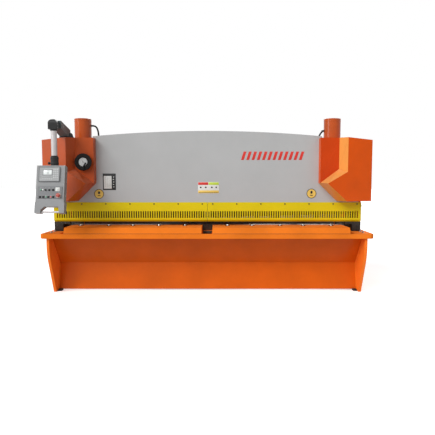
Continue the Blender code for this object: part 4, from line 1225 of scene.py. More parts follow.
@dataclass
class GapSetting:
    """Figures and pin of the gap dial, and the tread, grip and flange of its handwheel."""

    palette: Palette
    figures: int = 10
    figure_circle: float = 0.0345
    tick_circle: float = 0.0465
    treads: int = 60
    grip_foot: Point = (-1.374, -0.6013, 1.396)
    grip_tip: Point = (-1.340, -0.6013, 1.464)
    grip_radius: float = 0.009
    cover_face: float = -0.5303

    def dial(self) -> None:
        """Mark the dial with plain figures and ticks, round a pin."""
        low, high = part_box("gap_dial")
        middle = (low + high) / 2
        face = seat((middle.x, low.y, middle.z))
        marks = Shape("dial_marks")
        for number in range(5 * self.figures):
            turned = face @ Matrix.Rotation(math.pi / 2 - 2 * math.pi * number / (5 * self.figures), 4, "Z")
            long = 0.0068 if number % 5 == 0 else 0.0038
            marks.at(turned).plate(long, 0.0010, 0.0004, 0.0003, 0.0001, (self.tick_circle - long / 2, 0.0))
        for number in range(self.figures):
            turn = math.pi / 2 - 2 * math.pi * number / self.figures
            marks.at(face).words(str(number), 0.010, (self.figure_circle * math.cos(turn),
                                                      self.figure_circle * math.sin(turn)))
        marks.at(face @ Matrix.Rotation(math.radians(118), 4, "Z")).plate(
            0.026, 0.0022, 0.0008, 0.0008, 0.0002, (0.014, 0.0), 0.0012)
        marks.piece(self.palette["sign_dark"], Body.WHEEL)
        pin = Shape("dial_pin").at(face).turned([(0.0058, 0.0), (0.0058, 0.0026), (0.0044, 0.0038),
                                                 (0.0018, 0.0041)], 28)
        pin.piece(self.palette["bolt_steel"], Body.WHEEL)
        bezel = Shape("dial_bezel").at(face)
        bezel.ring_of([(0.0502, -0.0004), (0.0502, 0.0038), (0.0496, 0.0042), (0.0486, 0.0010),
                       (0.0486, -0.0004)], 56)
        bezel.piece(self.palette["wheel_black"], Body.WHEEL, "black_plastic")

    def wheel(self) -> None:
        """Tread the wheel's rim, and bolt the shaft's flange to the cover."""
        low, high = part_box("gap_wheel")
        middle, radius = (low + high) / 2, (high.x - low.x) / 2
        tread = Shape("wheel_tread")
        back = low.y + 0.010
        for number in range(self.treads):
            angle = 2 * math.pi * number / self.treads
            out = (math.cos(angle), 0.0, math.sin(angle))
            at = (middle.x + radius * out[0] * 0.9975, back, middle.z + radius * out[2] * 0.9975)
            tread.at(seat(at, out, (0, 1, 0))).plate(0.0042, 0.0108, 0.0012, 0.0014, 0.0006)
        tread.piece(self.palette["wheel_black"], Body.WHEEL, "black_plastic")
        flange, bolts = Shape("gap_shaft_flange"), Shape("gap_flange_bolts")
        face = seat((middle.x, self.cover_face, middle.z))
        flange.at(face).ring_of([(0.0150, 0.0), (0.0400, 0.0), (0.0400, 0.0050), (0.0385, 0.0065),
                                 (0.0240, 0.0070),
                                 (0.0225, 0.0150), (0.0210, 0.0160), (0.0150, 0.0160)], 48)
        for number in range(6):
            turn = math.pi * number / 3
            bolts.at(face @ shift((0.0315 * math.cos(turn), 0.0315 * math.sin(turn), 0.0064)))
            bolts.socket_screw(0.0036, 0.0034)
        flange.piece(self.palette["dark_steel"])
        bolts.piece(self.palette["bolt_steel"])

    def grip(self) -> None:
        """Hinge the folded grip on the rim, and round its two ends."""
        foot, tip = Vector(self.grip_foot), Vector(self.grip_tip)
        along = (tip - foot).normalized()
        radius = self.grip_radius
        ends = Shape("wheel_grip_ends")
        for at, way in ((tip, along), (foot, -along)):
            ends.at(seat(tuple(at - way * 0.0003), tuple(way), (0, -1, 0)))
            ends.turned([(radius, 0.0), (radius * 0.92, 0.0028), (radius * 0.68, 0.0048),
                         (radius * 0.25, 0.0058)], 24)
        for reach in (0.016, 0.022, 0.066):
            ends.at(seat(tuple(foot + along * reach), tuple(along), (0, -1, 0)))
            ends.ring_of([(radius - 0.0004, 0.0), (radius + 0.0009, 0.0008), (radius + 0.0009, 0.0022),
                          (radius - 0.0004, 0.0030)], 28)
        ends.piece(self.palette["black_plastic"], Body.WHEEL)
        cheeks, pin = Shape("wheel_grip_cheeks"), Shape("wheel_grip_pin")
        across = Vector((along.z, 0.0, -along.x))
        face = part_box("gap_wheel")[0].y
        for sign in (-1, 1):
            at = foot + along * 0.006 + across * sign * (radius + 0.0022)
            cheeks.at(seat((at.x, face + 0.0004, at.z), (0, -1, 0),
                           tuple(along))).plate(0.0034, 0.0150, 0.0150, 0.0012, 0.0008)
        pin.at(seat(tuple(foot + along * 0.006 - across * (radius + 0.0046)), tuple(across), (0, -1, 0)))
        pin.turned([(0.0024, 0.0), (0.0030, 0.0005), (0.0030, 0.0272 - 0.0005), (0.0024, 0.0272)], 16)
        cheeks.piece(self.palette["black_plastic"], Body.WHEEL)
        pin.piece(self.palette["black_bolt"], Body.WHEEL)

    def build(self) -> None:
        """Build the pieces of the gap setting."""
        self.dial()
        self.wheel()
        self.grip()


@dataclass
class ConsoleFace:
    """Screen, keys, lamps and buttons of the swinging console, with its clamps and screws."""

    palette: Palette
    top: Point = (-1.606, -0.918, 1.428)
    tilt: float = 12.0
    controller_face: float = 0.0120
    field_face: float = 0.0063
    depth: float = 0.075
    half: float = 0.146
    screen: tuple[float, float, float, float] = (-0.075, -0.102, 0.017, -0.049)
    first_row: float = -0.258
    second_row: float = -0.331
    lamp_ring: float = 0.0095
    button_ring: float = 0.0125
    lower_caps: tuple[tuple[float, str], ...] = (
        (-0.098, "black_plastic"), (-0.064, "black_plastic"), (-0.034, "lamp_green"),
        (-0.010, "black_plastic"), (0.014, "lamp_red"), (0.038, "black_plastic"))
    key_out: float = 0.0020
    key_round: float = 0.003
    key_ease: float = 0.0008

    def face(self, x: float, y: float, out: float = 0.0) -> Matrix:
        """Find the placing at a place on the console's face.

        Args:
            x: Metres to the right of the middle.
            y: Metres up the face from its top edge.
            out: Metres in front of the face.

        Returns:
            The placing, facing out of the face.
        """
        lean = math.radians(self.tilt)
        base = seat(self.top, (0.0, -math.cos(lean), math.sin(lean)), (0.0, math.sin(lean), math.cos(lean)))
        return base @ shift((x, y, out))

    def put(self, shape: Shape, finish: str) -> None:
        """Set a finished shape on the console."""
        shape.piece(self.palette[finish], Body.CONSOLE)

    def key_block(self, shape: Shape, count: tuple[int, int], first: Pair, step: Pair, size: Pair) -> None:
        """Lay a block of keys on the controller.

        Args:
            shape: Shape that takes the keys.
            count: Columns and rows.
            first: Place of the key at the upper left.
            step: Distance to the next column and to the next row down.
            size: Width and height of a key.
        """
        for row in range(count[1]):
            for column in range(count[0]):
                place = (first[0] + step[0] * column, first[1] - step[1] * row)
                key = shape.at(self.face(*place, self.controller_face))
                key.plate(*size, self.key_out, self.key_round, self.key_ease)

    def controller(self) -> None:
        """Build the controller's bezel, screen, figures and keys."""
        low, right = self.controller_face, 0.095
        left, upper, lower = -0.120, -0.018, -0.170
        wide, tall = right - left, upper - lower
        middle = ((left + right) / 2, (upper + lower) / 2)
        bezel = Shape("controller_bezel").at(self.face(*middle, low))
        for x, y, width, height in ((0, tall / 2 - 0.003, wide, 0.006), (0, -tall / 2 + 0.003, wide, 0.006),
                                    (wide / 2 - 0.003, 0, 0.006, tall), (-wide / 2 + 0.003, 0, 0.006, tall)):
            bezel.plate(width, height, 0.0020, 0.001, 0.0006, (x, y))
        self.put(bezel, "panel_grey")
        x0, y0, x1, y1 = self.screen
        window = Shape("screen_frame").at(self.face((x0 + x1) / 2, (y0 + y1) / 2, low))
        for x, y, width, height in ((0, (y1 - y0) / 2, x1 - x0 + 0.010, 0.005),
                                    (0, (y0 - y1) / 2, x1 - x0 + 0.010, 0.005),
                                    ((x1 - x0) / 2, 0, 0.005, y1 - y0), ((x0 - x1) / 2, 0, 0.005, y1 - y0)):
            window.plate(width, height, 0.0018, 0.001, 0.0005, (x, y))
        self.put(window, "panel_grey")
        glass = Shape("screen_glass").at(self.face((x0 + x1) / 2, (y0 + y1) / 2, low))
        self.put(glass.plate(x1 - x0, y1 - y0, 0.0010, 0.001, 0.0003), "screen_glass")
        figures = Shape("screen_figures")
        for row, words in enumerate(("00.00", "0.00", "000")):
            figures.at(self.face((x0 + x1) / 2 + 0.004, y1 - 0.012 - 0.0145 * row,
                                 low + 0.0009)).words(words, 0.012, thick=0.0002)
        self.put(figures, "sign_dark")
        keys, dark_keys = Shape("controller_keys"), Shape("function_keys")
        self.key_block(keys, (3, 5), (0.037, -0.045), (0.0185, 0.0215), (0.0145, 0.0145))
        self.key_block(dark_keys, (5, 1), (-0.072, -0.122), (0.0215, 0.0), (0.0155, 0.0115))
        self.key_block(dark_keys, (1, 4), (-0.104, -0.045), (0.0, 0.025), (0.0135, 0.0115))
        self.key_block(keys, (5, 1), (-0.072, -0.146), (0.0215, 0.0), (0.0155, 0.0115))
        self.put(keys, "key_pale")
        self.put(dark_keys, "screen_plastic")

    def pilot(self, shapes: dict[str, Shape], x: float, y: float, cap: str) -> None:
        """Put one lamp or push button with its ring on the field.

        Args:
            shapes: Shapes of each finish.
            x: Place across the face.
            y: Place down the face.
            cap: Finish of the cap.
        """
        placing = self.face(x, y, self.field_face)
        is_button = cap == "black_plastic"
        radius = self.button_ring if is_button else self.lamp_ring
        ring = shapes[cap if is_button else "bolt_steel"].at(placing)
        ring.ring_of([(radius, 0.0), (radius, 0.0028), (radius - 0.0012, 0.0040), (radius - 0.0026, 0.0040),
                      (radius - 0.0026, 0.0)], 28)
        dome = [(radius - 0.0027, 0.0), (radius - 0.0027, 0.0050), (radius - 0.0036, 0.0064),
                (radius - 0.0060, 0.0070)]
        shapes[cap].at(placing).turned(dome, 24)

    def selector(self, shapes: dict[str, Shape], x: float, y: float, turn: float) -> None:
        """Put one black selector with its lever on the field.

        Args:
            shapes: Shapes of each finish.
            x: Place across the face.
            y: Place down the face.
            turn: Turn of the lever in degrees.
        """
        placing = self.face(x, y, self.field_face)
        shapes["black_plastic"].at(placing).turned([(0.0105, 0.0), (0.0105, 0.0030), (0.0095, 0.0046),
                                                    (0.0060, 0.0050)], 28)
        lever = placing @ Matrix.Rotation(math.radians(turn), 4, "Z")
        shapes["black_plastic"].at(lever).plate(0.0060, 0.0200, 0.0095, 0.0025, 0.0010, (0.0, 0.0), 0.0040)
        shapes["sign_pale"].at(lever).plate(0.0012, 0.0075, 0.0004, 0.0004, 0.0001, (0.0, 0.0050), 0.0134)

    def buttons(self) -> None:
        """Fill the field under the controller with its two rows."""
        finishes = ("bolt_steel", "black_plastic", "sign_pale", "lamp_green", "lamp_white", "lamp_red",
                    "ring_blush", "screen_plastic")
        shapes = {name: Shape(f"console_{name}") for name in finishes}
        self.pilot(shapes, -0.094, self.first_row, "lamp_green")
        self.pilot(shapes, -0.070, self.first_row, "lamp_white")
        self.selector(shapes, -0.044, self.first_row, 35)
        self.selector(shapes, -0.006, self.first_row, -35)
        self.pilot(shapes, 0.034, self.first_row, "black_plastic")
        placing = self.face(0.080, self.first_row + 0.006, self.field_face)
        shapes["sign_pale"].at(placing).plate(0.044, 0.040, 0.0018, 0.003, 0.0006)
        for turn in range(0, 360, 45):
            spoke = placing @ Matrix.Rotation(math.radians(turn), 4, "Z")
            shapes["black_plastic"].at(spoke).plate(0.0009, 0.0035, 0.0003, 0.0003, 0.0001, (0.0, 0.0150),
                                                    0.0018)
        shapes["lamp_white"].at(placing @ shift((0, 0, 0.0018))).turned(
            [(0.0085, 0.0), (0.0080, 0.0050), (0.0070, 0.0060), (0.0030, 0.0062)], 28)
        shapes["black_plastic"].at(placing).plate(0.0011, 0.0060, 0.0004, 0.0004, 0.0001, (0.0, 0.0), 0.0079)
        for x, cap in self.lower_caps:
            self.pilot(shapes, x, self.second_row, cap)
            label = self.face(x, self.second_row + 0.0165, self.field_face)
            shapes["screen_plastic"].at(label).plate(0.016, 0.0055, 0.0006, 0.001, 0.0002)
        for x in (-0.094, -0.070, -0.044, -0.006, 0.034):
            label = self.face(x, self.first_row + 0.0185, self.field_face)
            shapes["screen_plastic"].at(label).plate(0.018, 0.0060, 0.0006, 0.001, 0.0002)
        ring = self.face(0.090, -0.316, self.field_face)
        shapes["ring_blush"].at(ring).ring_of([(0.0265, 0.0), (0.0265, 0.0012), (0.0258, 0.0018),
                                               (0.0185, 0.0018), (0.0178, 0.0012), (0.0178, 0.0)], 40)
        for name, shape in shapes.items():
            self.put(shape, name)

    def stop_cap(self) -> None:
        """Crown the stop button with its mushroom head and arrows."""
        placing = self.face(0.090, -0.316, self.field_face)
        head = Shape("stop_button_head").at(placing)
        head.turned([(0.0172, 0.0150), (0.0196, 0.0172), (0.0203, 0.0205), (0.0196, 0.0243),
                     (0.0172, 0.0270), (0.0120, 0.0286), (0.0050, 0.0292)], 40)
        self.put(head, "red_button")
        arrows = Shape("stop_button_arrows")
        for turn in (30, 150, 270):
            curve = placing @ Matrix.Rotation(math.radians(turn), 4, "Z")
            outline = [(-0.0010, -0.0028), (0.0012, -0.0028), (0.0022, 0.0), (0.0012, 0.0028),
                       (-0.0010, 0.0028)]
            arrows.at(curve @ shift((0.0100, 0.0, 0.0))).slab(outline, 0.0284, 0.0291)
        self.put(arrows, "sign_pale")

    def housing(self) -> None:
        """Add the lid seam, latches, hinges, corner screws and cable gland of the box."""
        seam = Shape("console_seams")
        for sign in (-1, 1):
            seam.at(seat(tuple(self.face(sign * (self.half - 0.0004), -0.1925, 0.0).translation),
                         (sign, 0, 0),
                         tuple(self.face(0, 1).translation - self.face(0, 0).translation)))
            seam.at(seam.placing @ shift((sign * 0.018, 0, 0))).plate(0.0022, 0.372, 0.0010, 0.0008, 0.0003)
        self.put(seam, "black_plastic")
        screws = Shape("console_screws")
        for x in (-0.136, 0.136):
            for y in (-0.010, -0.197, -0.372):
                screws.at(self.face(x, y)).socket_screw(0.0042, 0.0018)
        self.put(screws, "bolt_steel")
        hinges = Shape("console_hinges")
        up = tuple(self.face(0, 1).translation - self.face(0, 0).translation)
        for y in (-0.07, -0.31):
            at = tuple(self.face(-self.half + 0.0002, y, -0.030).translation)
            hinges.at(seat(at, (-1, 0, 0), up)).plate(0.020, 0.046, 0.0030, 0.002, 0.0008)
            hinges.at(seat(at, up, (-1, 0, 0)) @ shift((0, 0.0035, -0.023)))
            hinges.turned([(0.0042, 0.0), (0.0050, 0.0010), (0.0050, 0.0450), (0.0042, 0.0460)], 18)
        self.put(hinges, "black_plastic")
        latches = Shape("console_latches")
        for y in (-0.06, -0.32):
            at = tuple(self.face(self.half - 0.0002, y, -0.030).translation)
            latches.at(seat(at, (1, 0, 0), up)).turned([(0.0100, 0.0), (0.0100, 0.0020), (0.0090, 0.0030)],
                                                       24)
            latches.plate(0.0030, 0.0120, 0.0060, 0.0008, 0.0006)
        self.put(latches, "bolt_steel")
        rear = Shape("console_rear_lid").at(self.face(0, -0.1925, -self.depth)
                                            @ Matrix.Rotation(math.pi, 4, "Y"))
        rear.plate(0.262, 0.350, 0.0025, 0.006, 0.0010)
        for x in (-0.120, 0.120):
            for y in (-0.160, 0.0, 0.160):
                kept = rear.placing
                rear.at(kept @ shift((x, y, 0.0025))).socket_screw(0.0045, 0.0020)
                rear.at(kept)
        for number in range(7):
            rear.plate(0.090, 0.0050, 0.0030, 0.0020, 0.0012, (0.0, -0.110 + 0.012 * number), 0.0020)
        self.put(rear, "console_grey")

    def clamp(self) -> None:
        """Add the swivel's clamp rings, knob and screws."""
        low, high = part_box("tube_swivel")
        middle, radius = (low + high) / 2, (high.x - low.x) / 2
        ring = Shape("swivel_clamp")
        for height in (high.z - 0.030, high.z - 0.078):
            ring.at(shift((middle.x, middle.y, height)))
            ring.ring_of([(radius - 0.001, 0.0), (radius + 0.0015, 0.0010), (radius + 0.0022, 0.0030),
                          (radius + 0.0022, 0.0180),
                          (radius + 0.0015, 0.0200), (radius - 0.001, 0.0210)], 48)
        ring.at(seat((middle.x - radius, middle.y, high.z - 0.068), (-1, 0, 0)))
        ring.turned([(0.0060, 0.0), (0.0060, 0.008), (0.0125, 0.010), (0.0150, 0.014), (0.0150, 0.022),
                     (0.0120, 0.026), (0.0050, 0.0272)], 24)
        self.put(ring, "black_plastic")
        screws = Shape("swivel_screws")
        for turn in range(30, 390, 60):
            angle = math.radians(turn)
            at = (middle.x + 0.0368 * math.cos(angle), middle.y + 0.0368 * math.sin(angle), high.z - 0.0005)
            screws.at(shift(at)).turned([(0.0022, 0.0), (0.0022, 0.0008)], 12)
        self.put(screws, "bolt_steel")

    def build(self) -> None:
        """Build every piece of the console."""
        self.controller()
        self.buttons()
        self.stop_cap()
        self.housing()
        self.clamp()


@dataclass
class SwingArm:
    """Screws, collars and lids of the pendant's base, arm and elbow."""

    palette: Palette
    axis: Pair = (-1.565, -0.525)

    def base(self) -> None:
        """Bolt the base down and ring the hub that turns on it."""
        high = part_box("pendant_base")[1]
        bolts = Shape("pendant_base_bolts")
        for turn in range(0, 360, 60):
            angle = math.radians(turn + 20)
            at = (self.axis[0] + 0.0745 * math.cos(angle), self.axis[1] + 0.0745 * math.sin(angle),
                  high.z - 0.0008)
            bolts.at(shift(at)).turned([(0.0030, 0.0), (0.0028, 0.0022), (0.0016, 0.0030)], 16)
        bolts.piece(self.palette["bolt_steel"])
        cap = Shape("pendant_hub_ring").at(shift((*self.axis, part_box("pendant_hub")[0].z)))
        cap.ring_of([(0.0700, 0.0035), (0.0735, 0.0040), (0.0735, 0.0065), (0.0700, 0.0072)], 64)
        cap.piece(self.palette["black_plastic"], Body.ARM)

    def elbow(self) -> None:
        """Add the elbow's side lids, screws and the socket lip round the drop tube."""
        low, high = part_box("arm_elbow")
        middle = (low + high) / 2
        lids, screws = Shape("elbow_side_lids"), Shape("elbow_screws")
        for sign in (-1, 1):
            placing = seat((low.x if sign < 0 else high.x, middle.y, low.z + 0.0325), (sign, 0, 0))
            lids.at(placing).plate(0.066, 0.050, 0.0022, 0.012, 0.0012)
            for x in (-0.025, 0.025):
                for y in (-0.017, 0.017):
                    screws.at(placing @ shift((x, y, 0.0022))).turned(
                        [(0.0034, 0.0), (0.0030, 0.0016), (0.0014, 0.0020)], 14)
        lids.piece(self.palette["black_plastic"], Body.ARM)
        screws.piece(self.palette["bolt_steel"], Body.ARM)
        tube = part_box("drop_tube")
        centre, radius = (tube[0] + tube[1]) / 2, (tube[1].x - tube[0].x) / 2
        lip = Shape("tube_socket_lips").at(shift((centre.x, centre.y, tube[1].z - 0.014)))
        lip.ring_of([(radius + 0.0002, 0.0), (radius + 0.0050, 0.002), (radius + 0.0065, 0.0140),
                     (radius + 0.0002, 0.0140)], 48)
        lip.at(shift((centre.x, centre.y, tube[0].z + 0.0004)))
        lip.ring_of([(radius + 0.0002, 0.0), (radius + 0.0042, 0.0), (radius + 0.0042, 0.0060),
                     (radius + 0.0022, 0.0090), (radius + 0.0002, 0.0092)], 48)
        lip.piece(self.palette["black_plastic"], Body.ARM)

    def arm_clamps(self) -> None:
        """Add the side screws, on their washers, of the arm's square tube."""
        low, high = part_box("pendant_arm")
        screws = Shape("arm_screws")
        for sign in (-1, 1):
            for y, z in ((low.y + 0.030, 1.860), (low.y + 0.070, 1.838)):
                placing = seat((low.x if sign < 0 else high.x, y, z), (sign, 0, 0))
                screws.at(placing).turned([(0.0085, 0.0), (0.0085, 0.0009), (0.0078, 0.0012)], 18)
                screws.at(placing @ shift((0, 0, 0.0011))).socket_screw(0.0055, 0.0036)
        screws.piece(self.palette["bolt_steel"], Body.ARM)

    def build(self) -> None:
        """Build the pieces of the arm."""
        self.base()
        self.elbow()
        self.arm_clamps()


@dataclass
class FrameFittings:
    """Bolts through the side plates, weld seams, floor pads and anchor bolts."""

    palette: Palette
    plate_outer: float = 1.760
    plate_inner: float = 1.730
    bed_bolts: tuple[Pair, ...] = ((-0.340, 0.600), (-0.340, 0.530), (-0.340, 0.460))
    beam_bolts: tuple[Pair, ...] = ((-0.36, 0.980), (-0.26, 0.980))
    tie_bolts: tuple[Pair, ...] = ((0.70, 0.765), (0.76, 0.765), (0.70, 0.855), (0.76, 0.855))
    pad_at: Pair = (1.7068, -0.430)

    def plate_bolts(self) -> None:
        """Put the heavy hexagon bolts on the outer faces of the side plates."""
        bolts = Shape("side_plate_bolts")
        for side in Side:
            for y, z in self.bed_bolts + self.beam_bolts + self.tie_bolts:
                bolts.at(seat((side.value * self.plate_outer, y, z), (side.value, 0, 0))).hex_bolt(0.030)
        bolts.piece(self.palette["bolt_steel"])

    def weld(self, seams: Shape, start: Point, end: Point, size: float = 0.0045) -> None:
        """Lay a rippled weld bead between two points.

        Args:
            seams: Shape that takes the bead.
            start: Where it starts.
            end: Where it ends.
            size: Radius of the bead.
        """
        first, last = Vector(start), Vector(end)
        length = (last - first).length
        ahead = (last - first).normalized()
        across = ahead.orthogonal().normalized()
        other = ahead.cross(across)
        steps = max(4, int(length / 0.009))
        rings = []
        for step in range(steps + 1):
            swell = size * (0.86 + 0.14 * (step % 2)) * (0.55 if step in (0, steps) else 1.0)
            centre = first + ahead * (length * step / steps)
            rings.append([tuple(centre + (across * math.cos(math.pi * k / 3)
                                          + other * math.sin(math.pi * k / 3)) * swell)
                          for k in range(6)])
        seams.at(Matrix.Identity(4)).rings(rings)

    def welds(self) -> None:
        """Weld the bed beam, apron and ties to the side plates."""
        seams = Shape("frame_welds")
        bed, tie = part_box("bed_beam"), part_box("rear_tie_beam")
        for side in Side:
            x = side.value * (self.plate_inner - 0.001)
            self.weld(seams, (x, bed[1].y, bed[0].z), (x, bed[1].y, bed[1].z - 0.004))
            self.weld(seams, (x, tie[0].y, tie[0].z), (x, tie[0].y, tie[1].z))
            self.weld(seams, (x, tie[1].y, tie[0].z), (x, tie[1].y, tie[1].z))
            self.weld(seams, (x, tie[0].y, tie[0].z), (x, tie[1].y, tie[0].z))
        for x in spread(-1.5, 1.5, 7):
            self.weld(seams, (x - 0.06, bed[0].y, bed[1].z - 0.001), (x + 0.06, bed[0].y, bed[1].z - 0.001))
            self.weld(seams, (x - 0.06, bed[1].y, bed[1].z - 0.001), (x + 0.06, bed[1].y, bed[1].z - 0.001))
        seams.piece(self.palette["frame_orange"])

    def chute_rails(self) -> None:
        """Screw the dark rails of the sheet chute to the side plates' inner faces, as painted shade in the
        gap under the guard.
        """
        rails, screws = Shape("chute_rails"), Shape("chute_rail_screws")
        for side in Side:
            face = seat((side.value * self.plate_inner, 0.3175, 0.730), (-side.value, 0, 0))
            rails.at(face).plate(0.675, 0.140, 0.0030, 0.004, 0.0010)
            for across in spread(-0.30, 0.30, 5):
                screws.at(face @ shift((across, 0.0, 0.0028))).socket_screw(0.0080, 0.0050)
        rails.piece(self.palette["oily_steel"])
        screws.piece(self.palette["black_bolt"])

    def floor_pads(self) -> None:
        """Set the black levelling pads under the front corners and the anchor brackets at the rear."""
        pads, brackets, bolts = Shape("levelling_pads"), Shape("anchor_brackets"), Shape("anchor_bolts")
        for side in Side:
            x, y = side.value * self.pad_at[0], self.pad_at[1]
            pads.at(shift((x, y, 0.0))).plate(0.0460, 0.066, 0.022, 0.006, 0.0020)
            for y in (0.10, 0.90):
                inner = side.value * self.plate_inner
                middle = inner - side.value * 0.0402
                brackets.at(shift((middle, y, 0.0))).plate(0.080, 0.110, 0.016, 0.004, 0.0015)
                upright = seat((inner - side.value * 0.0002, y, 0.053), (-side.value, 0, 0))
                brackets.at(upright).plate(0.110, 0.074, 0.012, 0.004, 0.0015)
                bolts.at(shift((middle - side.value * 0.012, y, 0.0158))).hex_bolt(0.024)
                stud = [(0.0078, 0.0), (0.0078, 0.0300), (0.0066, 0.0320)]
                bolts.at(shift((middle - side.value * 0.012, y, 0.0200))).turned(stud, 18)
                for across in (-0.034, 0.034):
                    bolts.at(upright @ shift((across, 0.010, 0.0118))).hex_bolt(0.017)
        pads.piece(self.palette["black_plastic"])
        brackets.piece(self.palette["frame_orange"])
        bolts.piece(self.palette["bolt_steel"])

    def build(self) -> None:
        """Build the pieces of the frame."""
        self.plate_bolts()
        self.welds()
        self.chute_rails()
        self.floor_pads()


@dataclass
class CuttingGear:
    """Blade screws, the lower blade's seat rail, the end plates and the guides' screws."""

    palette: Palette
    pitch: float = 0.230

    def blade_screws(self) -> None:
        """Screw the lower blade from behind and the upper one from the front."""
        screws = Shape("blade_screws")
        low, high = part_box("lower_blade")
        count = int((high.x - low.x) / self.pitch)
        for x in spread(low.x + 0.08, high.x - 0.08, count):
            screws.at(seat((x, high.y - 0.0002, (low.z + high.z) / 2 - 0.006),
                           (0, 1, 0))).socket_screw(0.0105, 0.0060)
        low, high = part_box("upper_blade")
        for x in spread(low.x + 0.08, high.x - 0.08, count):
            screws.at(seat((x, low.y + 0.0002, 0.925))).socket_screw(0.0100, 0.0040)
        screws.piece(self.palette["black_bolt"])

    def seat_rail(self) -> None:
        """Stand the dark seat rail of the lower blade on the bed's rear edge."""
        low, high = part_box("lower_blade")
        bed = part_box("bed_plate")[1]
        rail = Shape("blade_seat_rail").at(shift((0.0, bed.y - 0.019, bed.z)))
        rail.plate(high.x - low.x, 0.036, high.z - bed.z - 0.001, 0.002, 0.001)
        rail.piece(self.palette["oily_steel"])

    def end_plates(self) -> None:
        """Close the gap between each end of the blades and the side plate with a dark plate."""
        plates = Shape("blade_end_plates")
        bed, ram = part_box("bed_plate")[1].z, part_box("ram")[0]
        inner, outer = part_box("upper_blade")[1].x + 0.002, 1.7290
        for side in Side:
            face = seat((side.value * (inner + outer) / 2, ram.y + 0.0010, (bed + ram.z) / 2))
            plates.at(face).plate(outer - inner, ram.z - bed - 0.0006, 0.0040, 0.001, 0.0005)
        plates.piece(self.palette["oily_steel"])

    def guide_screws(self) -> None:
        """Screw the end guides to the bed."""
        screws = Shape("guide_screws")
        for side in Side:
            low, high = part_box(f"{side.word}_end_guide")
            outer = high.x if side is Side.RIGHT else low.x
            for z in (0.712, 0.752):
                screws.at(seat((outer - side.value * 0.030, low.y, z))).socket_screw(0.0075, 0.0050)
            screws.at(seat((outer - side.value * 0.125, low.y, 0.7865))).socket_screw(0.0060, 0.0040)
        screws.piece(self.palette["black_bolt"])

    def build(self) -> None:
        """Build the pieces round the blades."""
        self.blade_screws()
        self.seat_rail()
        self.end_plates()
        self.guide_screws()


